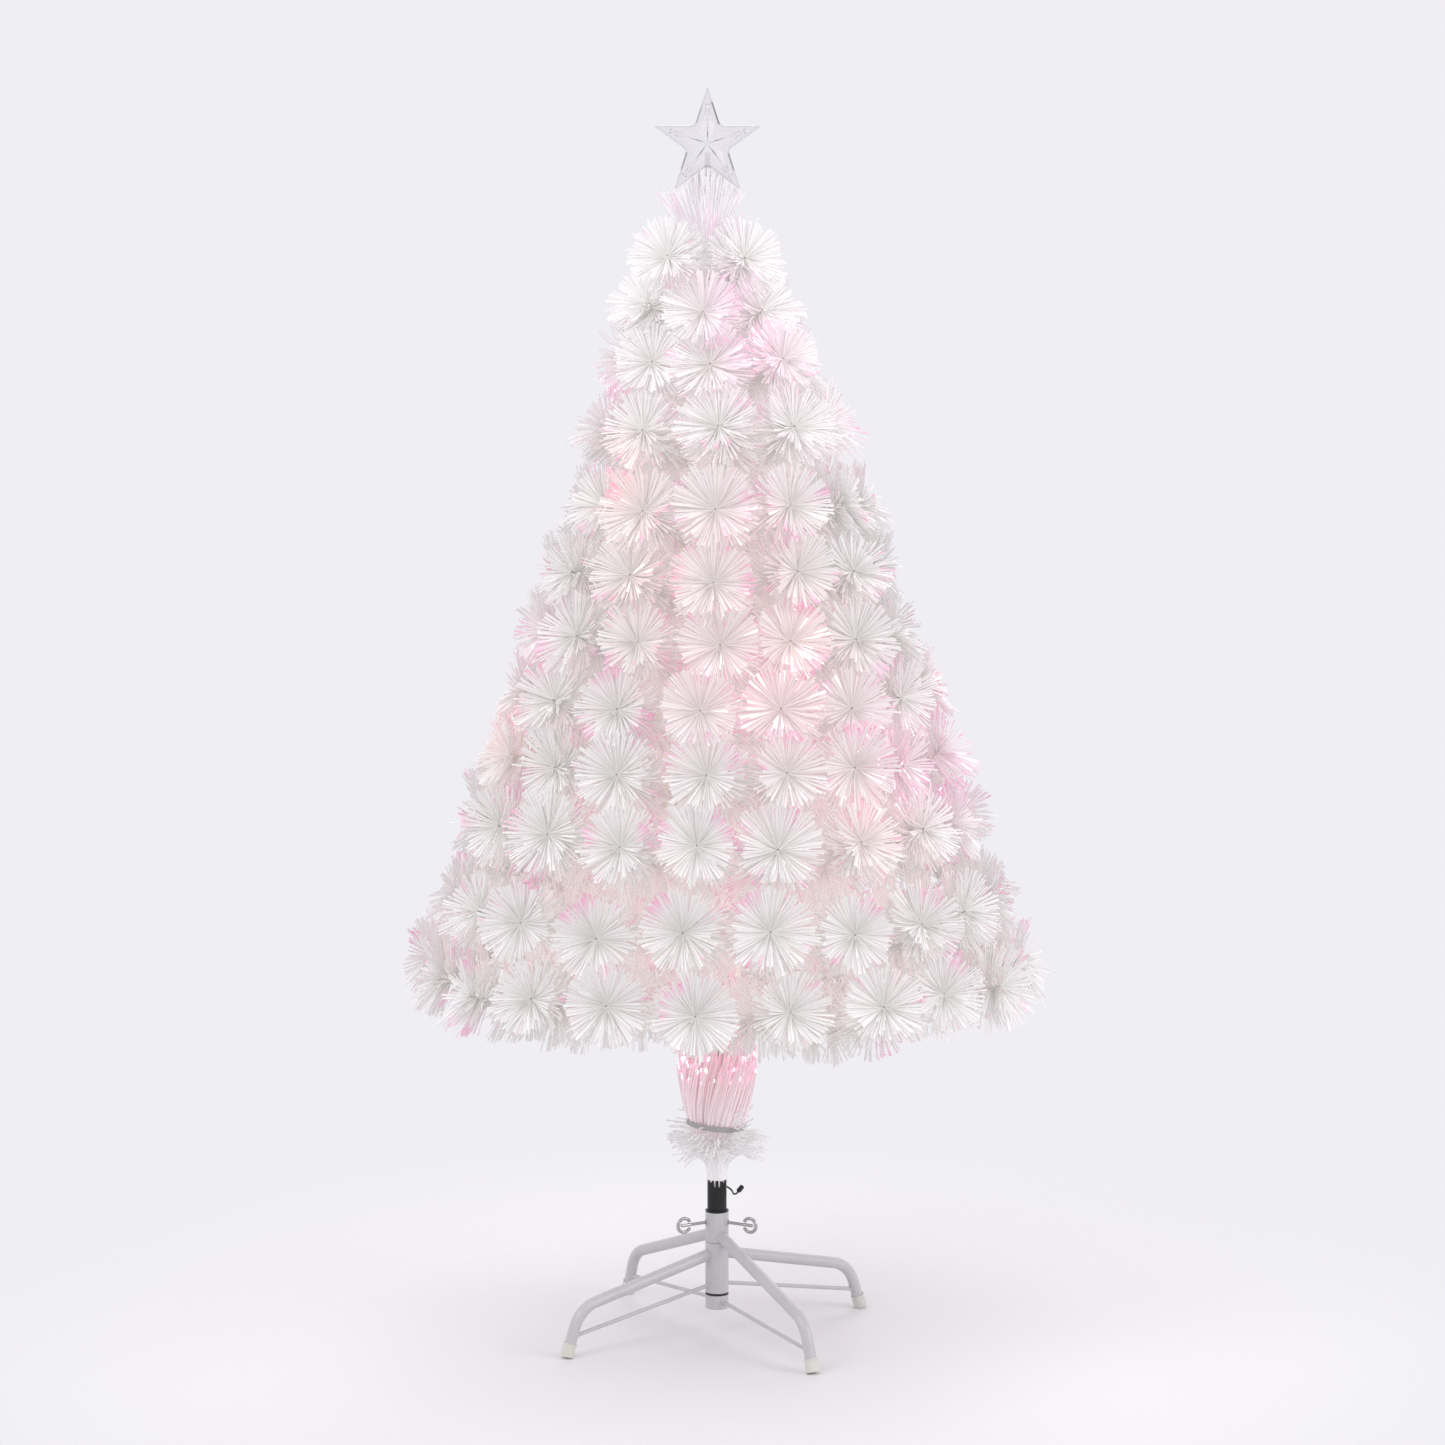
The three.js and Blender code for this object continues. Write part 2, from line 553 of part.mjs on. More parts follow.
// Pole with the light engine, ferrule, grommet, lead and connector
function addPole() {
  const tube = tubeWall(poleBore, POLE_RADIUS, poleBottomZ, POLE_TOP_Z, TUBE_SIDES);
  const notchHeight = POLE_NOTCH_DEPTH + CUT_OVERRUN;
  const notchZ = POLE_TOP_Z - POLE_NOTCH_DEPTH + notchHeight / 2;
  const notches = [-1, 1].map((hand) => new THREE.BoxGeometry(POLE_NOTCH_WIDTH, POLE_RADIUS, notchHeight)
    .translate((hand * POLE_NOTCH_SPACING) / 2, -POLE_RADIUS, notchZ));
  const holeReach = POLE_RADIUS + CUT_OVERRUN;
  const hole = bar(GROMMET_NECK_RADIUS + CLEARANCE, poleBore - POLE_WALL, holeReach, GROMMET_SIDES)
    .rotateY(Math.PI / 2)
    .rotateZ(rad(LEAD_AZIMUTH))
    .translate(0, 0, GROMMET_Z);
  addPiece('pole_tube', cut(tube, [...notches, hole]), 'blackTube');

  const lensZ = lightTopZ - LIGHT_LENS_HEIGHT;
  const light = turned([
    [0, lensZ - LIGHT_BODY_LENGTH],
    [insertRadius, lensZ - LIGHT_BODY_LENGTH],
    [insertRadius, lensZ],
    [LIGHT_LENS_RADIUS, lensZ],
    [LIGHT_LENS_RADIUS, lensZ + LIGHT_LENS_HEIGHT / 2],
    [LIGHT_LENS_RADIUS * Math.SQRT1_2, lightTopZ],
    [0, lightTopZ],
  ], TUBE_SIDES / 2);
  addPiece('light_module', light, 'board');

  const ferruleTopZ = ferruleZ + FERRULE_LENGTH;
  const ferrule = turned([
    [0, ferruleZ],
    [insertRadius, ferruleZ],
    [insertRadius, ferruleTopZ],
    [rodBore, ferruleTopZ],
    [rodBore, ferruleZ + FERRULE_RECESS],
    [0, ferruleZ + FERRULE_RECESS],
  ], TUBE_SIDES / 2);
  addPiece('bundle_ferrule', ferrule, 'ferrule');

  const neckStart = insertRadius + CLEARANCE;
  const flangeStart = POLE_RADIUS + CLEARANCE;
  const flangeEnd = flangeStart + GROMMET_FLANGE_THICKNESS;
  const grommet = turned([
    [0, neckStart],
    [GROMMET_NECK_RADIUS, neckStart],
    [GROMMET_NECK_RADIUS, flangeStart],
    [GROMMET_FLANGE_RADIUS, flangeStart],
    [GROMMET_NECK_RADIUS, flangeEnd],
    [0, flangeEnd],
  ], GROMMET_SIDES).rotateY(Math.PI / 2).rotateZ(rad(LEAD_AZIMUTH)).translate(0, 0, GROMMET_Z);
  addPiece('lead_grommet', grommet, 'blackPlastic');

  const exit = new THREE.Vector3(flangeEnd + CLEARANCE, 0, GROMMET_Z);
  exit.applyAxisAngle(new THREE.Vector3(0, 0, 1), rad(LEAD_AZIMUTH));
  const route = new THREE.CatmullRomCurve3([exit, ...LEAD_ROUTE.map((place) => new THREE.Vector3(...place))]);
  const section = new THREE.Shape(Array.from({ length: LEAD_SIDES }, (_, i) => {
    const angle = (2 * Math.PI * i) / LEAD_SIDES;
    return new THREE.Vector2(LEAD_RADIUS * Math.cos(angle), LEAD_RADIUS * Math.sin(angle));
  }));
  const sweep = { steps: LEAD_STEPS, extrudePath: route, bevelEnabled: false };
  const lead = new THREE.ExtrudeGeometry(section, sweep);
  addPiece('power_lead', welded(lead), 'blackPlastic');

  const along = route.getTangent(1);
  const connector = turned([
    [0, 0],
    [CONNECTOR_NECK_RADIUS, 0],
    [CONNECTOR_RADIUS, CONNECTOR_NECK_RADIUS],
    [CONNECTOR_RADIUS, CONNECTOR_LENGTH],
    [CONNECTOR_BORE_RADIUS, CONNECTOR_LENGTH],
    [CONNECTOR_BORE_RADIUS, CONNECTOR_LENGTH - CONNECTOR_BORE_DEPTH],
    [0, CONNECTOR_LENGTH - CONNECTOR_BORE_DEPTH],
  ], CONNECTOR_SIDES);
  connector.applyQuaternion(new THREE.Quaternion().setFromUnitVectors(new THREE.Vector3(0, 0, 1), along));
  const seat = route.getPoint(1).addScaledVector(along, CLEARANCE);
  addPiece('lead_connector', connector.translate(seat.x, seat.y, seat.z), 'blackPlastic');
}

// Rings of strands, each strand a thin three sided bar along a [reach, z] path
function strandRing(count, phaseShare, path, radii) {
  return Array.from({ length: count }, (_, i) => {
    const azimuth = (2 * Math.PI * (i + phaseShare)) / count;
    return bentBar(path, radii, WIRE_SIDES).rotateZ(azimuth);
  });
}

const bundleTopZ = tierPlace(0).rootZ - TRUNK_SKIRT - CLEARANCE;

function addBaseBrush() {
  const topZ = brushBackingZ + BACKING_THICKNESS;
  const innerRoot = POLE_RADIUS - BRUSH_ROOT_PITCH / 2 - 2 * BRUSH_ROOT_PITCH;
  const bore = innerRoot - BRUSH_ROOT_PITCH / 2;
  const backing = tubeWall(bore, POLE_RADIUS, brushBackingZ, topZ, TUBE_SIDES);
  const strands = BRUSH_REACHES.flatMap((reach, ring) => {
    const root = POLE_RADIUS - BRUSH_ROOT_PITCH / 2 - ring * BRUSH_ROOT_PITCH;
    const neckZ = topZ + BRUSH_NECK_HEIGHT + ring * BRUSH_NECK_RISE;
    const path = [
      [root, topZ - BACKING_THICKNESS / 2],
      [root + BRUSH_BEND_REACH, neckZ],
      [reach, topZ + BRUSH_RISES[ring]],
    ];
    const radii = even(path.length, BRUSH_STRAND_RADIUS);
    return strandRing(BRUSH_RING_STRANDS, ring / BRUSH_REACHES.length, path, radii);
  });
  addPiece('base_brush', joined([backing, ...strands]), 'fibre');
}

// Outside radius of the bundle at height z: narrow in the pole, then flaring and levelling off
function bundleRadius(z) {
  const root = insertRadius - BUNDLE_STRAND_TOP_RADIUS - BACKING_THICKNESS / 2;
  const rise = THREE.MathUtils.inverseLerp(BUNDLE_FLARE_START_Z, BUNDLE_FLARE_END_Z, z);
  const share = THREE.MathUtils.clamp(rise, 0, 1);
  return root + (BUNDLE_TOP_RADIUS - root) * (1 - (1 - share) ** BUNDLE_FLARE_POWER);
}

// Strands thicken on their way up, each standing for a few fibres that part as they rise
function bundleStrandRadius(z) {
  const share = (z - bundleBackingZ) / (bundleTopZ - bundleBackingZ);
  return BUNDLE_STRAND_ROOT_RADIUS + (BUNDLE_STRAND_TOP_RADIUS - BUNDLE_STRAND_ROOT_RADIUS) * share;
}

// Heights at which a strand of the bundle bends, closer together where the flare begins
function bundleHeights() {
  const heights = [bundleBackingZ + BACKING_THICKNESS / 2, BUNDLE_FLARE_START_Z];
  for (let i = 1; i < BUNDLE_STEPS; i += 1) {
    const share = (i / (BUNDLE_STEPS - 1)) ** BUNDLE_STEP_POWER;
    heights.push(BUNDLE_FLARE_START_Z + (bundleTopZ - BUNDLE_FLARE_START_Z) * share);
  }
  return heights;
}

// Reach of the outer strands at height z, along the straight stretches between their bends
function bundleReachAt(z) {
  const heights = bundleHeights();
  const above = Math.max(1, heights.findIndex((height) => height >= z));
  const [low, high] = [heights[above - 1], heights[above]];
  return THREE.MathUtils.mapLinear(z, low, high, bundleRadius(low), bundleRadius(high));
}

function addBundle() {
  const backing = tubeWall(rodBore, insertRadius, bundleBackingZ, POLE_TOP_Z, TUBE_SIDES / 2);
  const heights = bundleHeights();
  const radii = heights.map(bundleStrandRadius);
  const outer = heights.map((z) => [bundleRadius(z), z]);
  const inner = heights.map((z) => [bundleRadius(z) * BUNDLE_INNER_SHARE, z]);
  const strands = [
    ...strandRing(BUNDLE_OUTER_STRANDS, 0, outer, radii),
    ...strandRing(BUNDLE_INNER_STRANDS, 1 / 2, inner, radii),
  ];
  addPiece('fibre_bundle', joined([backing, ...strands]), 'litFibre');

  const rimZ = TIE_Z + TIE_HEIGHT / 2;
  const swing = bundleReachAt(TIE_Z) * Math.sin(rad(TIE_TILT));
  const [lowRadius, highRadius] = [bundleReachAt(rimZ - swing), bundleReachAt(rimZ + swing)];
  const strandFace = bundleStrandRadius(TIE_Z);
  const snug = (lowRadius + highRadius) / 2 + strandFace + CLEARANCE;
  const bore = snug / Math.cos(Math.PI / TUBE_SIDES);
  const tie = tubeWall(bore, bore + TIE_THICKNESS, -TIE_HEIGHT / 2, TIE_HEIGHT / 2, TUBE_SIDES);
  const shift = (lowRadius - highRadius) / 2;
  addPiece('bundle_tie', tie.rotateY(rad(TIE_TILT)).translate(shift, 0, TIE_Z), 'tie');
}

// Height, rise and reach of a tier, from 0 at the lowest to 1 at the highest
function tierPlace(tier) {
  const tipZ = TIER_TIP_HEIGHTS[tier];
  const share = THREE.MathUtils.inverseLerp(TIER_TIP_HEIGHTS[0], TIER_TIP_HEIGHTS[lastTier], tipZ);
  const rise = rad(LOWEST_BRANCH_RISE + (HIGHEST_BRANCH_RISE - LOWEST_BRANCH_RISE) * share);
  const taper = (1 - share) * (1 + FOLIAGE_BULGE_SHARE * share);
  const reach = FOLIAGE_TOP_REACH + (FOLIAGE_BASE_REACH - FOLIAGE_TOP_REACH) * taper;
  const headReach = HEAD_DEPTH * Math.cos(rise) + HEAD_RADIUS * Math.sin(rise);
  const tipReach = reach - headReach;
  return { share, rise, tipReach, tipZ, rootZ: tipZ - tipReach * Math.tan(rise) };
}

// One branch along +X: a thin wire, then a burst of petals, a fluted cone with a dished face
function branchSkin(startReach, tipReach) {
  const wireRing = (reach) => Array.from({ length: WIRE_SIDES }, (_, i) => {
    const turn = (2 * Math.PI * i) / WIRE_SIDES;
    return new THREE.Vector3(reach, WIRE_RADIUS * Math.cos(turn), WIRE_RADIUS * Math.sin(turn));
  });
  const rim = Array.from({ length: 2 * HEAD_PETAL_COUNT }, (_, i) => {
    const turn = -Math.PI / 2 + (Math.PI * i) / HEAD_PETAL_COUNT;
    const valley = i % 2 === 1;
    const radius = HEAD_RADIUS * (valley ? HEAD_VALLEY_SHARE : 1);
    const depth = HEAD_DEPTH * (valley ? HEAD_VALLEY_DEPTH_SHARE : 1);
    return new THREE.Vector3(tipReach + depth, radius * Math.cos(turn), radius * Math.sin(turn));
  });
  const dish = new THREE.Vector3(tipReach + HEAD_DISH_DEPTH, 0, 0);
  return loft([wireRing(startReach), wireRing(tipReach), rim, [dish]]);
}

function addTiers() {
  TIER_BRANCH_COUNTS.forEach((count, tier) => {
    const place = tierPlace(tier);
    const radius = TRUNK_BASE_RADIUS + (TRUNK_TOP_RADIUS - TRUNK_BASE_RADIUS) * place.share;
    const nextRootZ = tier < lastTier ? tierPlace(tier + 1).rootZ : place.rootZ + 2 * TRUNK_SKIRT;
    const wrapTopZ = nextRootZ - TRUNK_SKIRT - CLEARANCE;
    const wrap = tubeWall(rodBore, radius, place.rootZ - TRUNK_SKIRT, wrapTopZ, TRUNK_SIDES);
    const start = (rodBore + radius) / 2;
    const along = 1 / Math.cos(place.rise);
    const skin = branchSkin(start * along, place.tipReach * along);
    const branch = solid(skin.rotateY(-place.rise).translate(0, 0, place.rootZ));
    const branches = Array.from({ length: count }, (_, i) => {
      const azimuth = (360 * (i + TIER_TURN_SHARES[tier])) / count;
      return branch.rotate([0, 0, azimuth]);
    });
    const whole = wasm.Manifold.union([solid(wrap), ...branches]);
    addPiece(`branch_tier_${String(tier + 1).padStart(2, '0')}`, leaned(shapeOf(whole)), 'fibre');
  });
}

function addTrunkAndPlume() {
  const height = ROD_TOP_Z - rodBottomZ;
  const rod = new THREE.CylinderGeometry(ROD_RADIUS, ROD_RADIUS, height, ROD_SIDES, ROD_STEPS);
  rod.rotateX(Math.PI / 2).translate(0, 0, rodBottomZ + height / 2);
  addPiece('trunk_rod', leaned(welded(rod)), 'trunkSteel');

  const rootZ = tierPlace(lastTier).rootZ + TRUNK_SKIRT;
  const topZ = rootZ + PLUME_BACKING_THICKNESS;
  const firstRoot = rodBore + STEM_WALL + PLUME_ROOT_PITCH;
  const backingRadius = firstRoot + PLUME_ROOT_PITCH * (PLUME_REACHES.length - 1 / 2);
  const backing = tubeWall(rodBore, backingRadius, rootZ, topZ, TRUNK_SIDES * 2);
  const strands = PLUME_REACHES.flatMap((reach, ring) => {
    const root = firstRoot + ring * PLUME_ROOT_PITCH;
    const tipZ = ROD_TOP_Z + PLUME_TIP_RISES[ring];
    const path = [
      [root, rootZ + PLUME_BACKING_THICKNESS / 2],
      [root + (reach - root) * PLUME_BEND_REACH_SHARE, topZ + (tipZ - topZ) * PLUME_BEND_SHARE],
      [reach, tipZ],
    ];
    const phaseShare = ring / PLUME_REACHES.length;
    return strandRing(PLUME_RING_STRANDS[ring], phaseShare, path, even(path.length, PLUME_STRAND_RADIUS));
  });
  addPiece('top_plume', leaned(joined([backing, ...strands])), 'fibre');
}

// Corners of the star in the XZ plane at depth y
function starRing(radius, y) {
  return Array.from({ length: 2 * STAR_POINTS }, (_, i) => {
    const turn = Math.PI / 2 + (Math.PI * i) / STAR_POINTS;
    const reach = radius * (i % 2 === 1 ? STAR_INNER_SHARE : 1);
    return new THREE.Vector3(reach * Math.cos(turn), y, reach * Math.sin(turn));
  });
}

// Half of the star: flat rim, then a smaller star with ridges rising to the middle
function starBlock(radius, nearY, rimY, centreY) {
  return loft([
    [new THREE.Vector3(0, nearY, 0)],
    starRing(radius, nearY),
    starRing(radius, rimY),
    starRing(radius * STAR_RAISED_SHARE, rimY),
    [new THREE.Vector3(0, centreY, 0)],
  ]);
}

function starShell(hand) {
  const wallReach = STAR_WALL / STAR_INNER_SHARE;
  const outside = starBlock(
    STAR_RADIUS,
    (hand * CLEARANCE) / 2,
    hand * STAR_RIM_DEPTH,
    hand * STAR_CENTRE_DEPTH,
  );
  const inside = starBlock(
    STAR_RADIUS - wallReach,
    -hand * STAR_WALL,
    hand * (STAR_RIM_DEPTH - STAR_WALL),
    hand * (STAR_CENTRE_DEPTH - STAR_WALL),
  );
  const holeTop = (-STAR_RADIUS * STAR_INNER_SHARE) / 2;
  const pinHole = bar(STEM_PIN_RADIUS + CLEARANCE, -STAR_RADIUS, holeTop, STEM_SIDES);
  return cut(outside, [inside, pinHole]).translate(LEAN_X, 0, starCentreZ);
}

function addStar() {
  addPiece('star_front', starShell(-1), 'clearPlastic');
  addPiece('star_back', starShell(1), 'clearPlastic');

  const roofZ = ROD_TOP_Z + CLEARANCE;
  const shoulderZ = roofZ + STEM_ROOF;
  const socketRadius = rodBore + STEM_WALL;
  const stem = turned([
    [0, roofZ],
    [rodBore, roofZ],
    [rodBore, shoulderZ - STEM_SOCKET_LENGTH],
    [socketRadius, shoulderZ - STEM_SOCKET_LENGTH],
    [socketRadius, shoulderZ],
    [STEM_PIN_RADIUS, shoulderZ],
    [STEM_PIN_RADIUS, shoulderZ + STEM_PIN_LENGTH],
    [0, shoulderZ + STEM_PIN_LENGTH],
  ], STEM_SIDES);
  addPiece('star_stem', stem.translate(LEAN_X, 0, 0), 'clearPlastic');
}

addHub();
addLeg('front_right', HIGH_PAIR_AZIMUTH, HIGH_LEG_ROOT_Z, LOW_BRACE_HUB_Z);
addLeg('back_left', HIGH_PAIR_AZIMUTH + 180, HIGH_LEG_ROOT_Z, LOW_BRACE_HUB_Z);
addLeg('back_right', LOW_PAIR_AZIMUTH, LOW_LEG_ROOT_Z, HIGH_BRACE_HUB_Z);
addLeg('front_left', LOW_PAIR_AZIMUTH + 180, LOW_LEG_ROOT_Z, HIGH_BRACE_HUB_Z);
Object.entries(SCREW_AZIMUTHS).forEach(([side, azimuth]) => addThumbscrew(side, azimuth));
addPole();
addBaseBrush();
addBundle();
addTiers();
addTrunkAndPlume();
addStar();

export default model;
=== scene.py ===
import math

import bpy
import numpy as np
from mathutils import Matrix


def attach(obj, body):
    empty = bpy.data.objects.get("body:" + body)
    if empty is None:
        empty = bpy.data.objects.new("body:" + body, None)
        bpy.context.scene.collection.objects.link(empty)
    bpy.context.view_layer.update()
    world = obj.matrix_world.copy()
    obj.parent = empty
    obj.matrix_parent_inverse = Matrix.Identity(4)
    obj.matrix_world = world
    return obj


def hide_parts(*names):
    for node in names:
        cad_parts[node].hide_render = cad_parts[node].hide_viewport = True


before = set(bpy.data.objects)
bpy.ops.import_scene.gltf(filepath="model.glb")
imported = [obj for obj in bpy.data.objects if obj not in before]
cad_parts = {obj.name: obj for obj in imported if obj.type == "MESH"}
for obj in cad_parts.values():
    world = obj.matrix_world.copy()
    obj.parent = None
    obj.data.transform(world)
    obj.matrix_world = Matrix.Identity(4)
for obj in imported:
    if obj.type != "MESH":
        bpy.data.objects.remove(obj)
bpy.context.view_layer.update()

rng = np.random.default_rng(17)
SCENE = bpy.context.scene

# All sizes below are in millimetres and are scaled to metres when a mesh is made.
MM = 0.001

# Pole and hub: radii, then the low and high end of each ring of the hub
POLE_RADIUS, POLE_BORE, POLE_BOTTOM, POLE_TOP = 11.7, 10.5, 33.3, 191.0
NOTCH_OFFSET, NOTCH_WIDTH, NOTCH_DEPTH = 2.7, 1.7, 8.5
SLEEVE_RADIUS, SLEEVE_BORE = 14.2, 13.0
COLLAR, WASHER, LOWER_SLEEVE, UPPER_SLEEVE = (31, 48), (48.3, 50.7), (51, 113.7), (114, 151)
BUSHING = [[12.0, 145.0], [12.7, 145.0], [12.7, 151.3], [14.2, 151.3], [14.3, 152.7], [12.0, 152.9]]
SCREW_BOSS = [[2.3, 0], [4.2, 0], [4.2, 2.2], [3.6, 2.6], [2.3, 2.6]]
# Two crossed slots at the front of the collar: centre and size
COLLAR_SLOTS = [((6.6, -SLEEVE_RADIUS, 39.6), (1.0, 9.0, 4.6)),
                ((5.2, -SLEEVE_RADIUS, 41.4), (2.8, 9.0, 1.0))]

# Legs and feet. A cap's middle is FOOT_SINK below the height that its tilt alone would give it.
LEG_RADIUS, KNEE_REACH, KNEE_Z, KNEE_BEND, FOOT_FLARE = 7.0, 193.5, 57.5, 40.0, 18.2
FOOT_RADIUS, FOOT_SINK, FOOT_FLOOR = 8.2, 0.9, 2.8
BRACE_RADIUS, BRACE_FOOT_Z, WELD_RADIUS = 2.5, 25.6, 0.8
LEG_AZIMUTHS = {"front_right": -57.7, "back_left": 122.3, "back_right": 32.3, "front_left": 212.3}

# Thumbscrews
SCREW_Z, EYE_DISTANCE, EYE_RING, EYE_WIRE = 138.8, 45.9, 8.45, 2.05
SCREW_START, SCREW_RADIUS, THREAD_DEPTH, THREAD_PITCH, THREAD_END = 12.0, 2.0, 0.34, 1.0, 38.0
SCREW_AZIMUTHS = {"right": -30.0, "left": 210.0, "back": 90.0}

# Tree: branches, tip height and turn of each tier, and how far its fans are drawn in, and moved to
# the right, from the places of the plain branch ends
TIER_COUNTS = [20, 20, 19, 17, 15, 14, 12, 11, 9, 8, 6, 4]
TIER_TIPS = [458, 544, 640, 718, 790, 863, 936, 1014, 1109, 1184, 1243, 1300]
TIER_TURNS = [0.71, 0.49, 0.97, 0.45, 0.97, 0.49, 0.93, 0.21, 0.69, 0.96, 0.38, 0.5]
FAN_SHIFTS = [(10, 8), (8, 8), (8, 8), (12, 8), (14, 6), (14, 5), (10, 8), (8, 13), (4, 14),
              (3, 10), (6, 5), (5, 0)]
BASE_REACH, TOP_REACH, BULGE = 377.0, 98.0, 0.14
BURST_DEPTH, BURST_RADIUS = 20.0, 37.0
ROOT_REACH, ROD_BORE, ROD_TOP = 12.0, 4.3, 1382.7
STAR_RADIUS, STAR_Z, STAR_X = 64.5, 1435.5, -11.0


# ---------------------------------------------------------------- shapes

def unit(v):
    """Each row of v divided by its own length."""
    return v / np.maximum(np.linalg.norm(v, axis=-1, keepdims=True), 1e-9)


def circle(count):
    """Equal steps round a circle, from 0 to just before 2 pi."""
    return np.linspace(0, 2 * np.pi, count, endpoint=False)


def polar(r, a, z):
    """Points at radius r, angle a and height z: x = r cos a, y = r sin a."""
    return np.stack([r * np.cos(a), r * np.sin(a), z + 0 * a], -1)


def skin(rows, loop=False):
    """Closed shell over a grid of points (rows along, columns around).
    Quads join row i to row i + 1 and column j to column j + 1, wrapping round the columns. The
    last row joins the first with loop, and each end row gets a fan from its mean point without."""
    rows = np.asarray(rows, float)
    count, around = rows.shape[:2]
    verts = rows.reshape(-1, 3)
    i = np.arange(count if loop else count - 1)[:, None]
    j = np.arange(around)[None, :]
    k = (j + 1) % around
    low, high = i * around, (i + 1) % count * around
    quads = np.stack([low + j, low + k, high + k, high + j], -1).reshape(-1, 4)
    tris = np.zeros((0, 3), int)
    if not loop:
        base, last = len(verts), (count - 1) * around
        verts = np.vstack([verts, rows[0].mean(0), rows[-1].mean(0)])
        ring, turn = np.arange(around), (np.arange(around) + 1) % around
        tris = np.vstack([np.stack([turn, ring, np.full(around, base)], -1),
                          np.stack([last + ring, last + turn, np.full(around, base + 1)], -1)])
    return facing_out(verts, quads, tris)


def facing_out(verts, quads, tris):
    """Turns the faces over where the enclosed volume, a sixth of the sum of a . (b x c), is
    negative."""
    flat = np.vstack([quads[:, [0, 1, 2]], quads[:, [0, 2, 3]], tris])
    a, b, c = verts[flat[:, 0]], verts[flat[:, 1]], verts[flat[:, 2]]
    if np.einsum("ij,ij->i", a, np.cross(b, c)).sum() < 0:
        quads, tris = quads[:, ::-1], tris[:, ::-1]
    return verts, quads, tris


def together(shells):
    """Several shells as one: corners stacked, and face numbers moved on by the corners before."""
    verts, quads, tris, base = [], [], [], 0
    for v, q, t in shells:
        verts.append(v)
        quads.append(q + base)
        tris.append(t + base)
        base += len(v)
    return np.vstack(verts), np.vstack(quads), np.vstack(tris)


def eased(profile, size, steps=4):
    """Closed profile with its corners rounded: each corner P becomes the curve
    (1 - t)^2 A + 2 t (1 - t) P + t^2 B between points A and B set back along its two sides."""
    p = np.asarray(profile, float)
    before, after = np.roll(p, 1, 0) - p, np.roll(p, -1, 0) - p
    a, b = (p + side / long * np.minimum(size, long * 0.45) for side, long in
            ((side, np.linalg.norm(side, axis=1, keepdims=True)) for side in (before, after)))
    t = np.linspace(0, 1, steps)[None, :, None]
    curve = (1 - t) ** 2 * a[:, None] + 2 * t * (1 - t) * p[:, None] + t ** 2 * b[:, None]
    return curve.reshape(-1, 2)


def turned(profile, sides=96, closed=True):
    """[radius, z] profile carried round Z. A closed profile meets its own start, and one that isn't
    starts and ends near the axis and gets a fan at either end."""
    profile = np.asarray(profile, float)
    return skin(polar(profile[:, :1], circle(sides), profile[:, 1:]), loop=closed)


def ring_of(bore, radius, low, high, edge=0.4):
    """Tube wall between two radii and two heights, with rounded edges."""
    return turned(eased([[bore, low], [radius, low], [radius, high], [bore, high]], edge))


def along_x(shell):
    """Turns a shell from the Z axis to the X axis: (x, y, z) goes to (z, y, -x)."""
    v, q, t = shell
    return v[:, [2, 1, 0]] * [1, 1, -1], q, t


def spun(shell, azimuth=0.0, move=(0, 0, 0)):
    """Shell turned about Z by azimuth degrees, then moved."""
    a = math.radians(azimuth)
    turn = np.array([[math.cos(a), math.sin(a), 0], [-math.sin(a), math.cos(a), 0], [0, 0, 1]])
    return shell[0] @ turn + np.asarray(move, float), shell[1], shell[2]


def tilted(shell, tilt):
    """Shell turned about Y: (x, z) goes to (x cos T + z sin T, z cos T - x sin T)."""
    (x, y, z), c, s = shell[0].T, math.cos(tilt), math.sin(tilt)
    return np.stack([x * c + z * s, y, z * c - x * s], -1), shell[1], shell[2]


def frames(paths, facing=None):
    """Two unit normals at each point of each path: tangent x helper, and its cross product with the
    tangent. The helper is the direction to face where one is given, and otherwise Z for a path that
    runs mostly level and X for one that runs mostly upright."""
    way = unit(np.gradient(paths, axis=-2))
    if facing is None:
        mean = unit(paths[..., -1:, :] - paths[..., :1, :])
        facing = np.where(np.abs(mean[..., 2:3]) > 0.8, [1.0, 0.0, 0.0], [0.0, 0.0, 1.0])
    side = unit(np.cross(way, facing))
    return side, np.cross(side, way)


def tube(path, radius, sides=24, loop=False):
    """Round bar along a path: centre + r (cos a side + sin a up), with a radius at each point."""
    path = np.asarray(path, float)
    side, up = frames(path)
    if loop:
        way = unit(np.roll(path, -1, 0) - np.roll(path, 1, 0))
        side = unit(np.cross(path - path.mean(0), way))
        up = np.cross(side, way)
    a = circle(sides)[None, :, None]
    r = np.broadcast_to(radius, len(path))[:, None, None]
    return skin(path[:, None] + r * (np.cos(a) * side[:, None] + np.sin(a) * up[:, None]), loop)


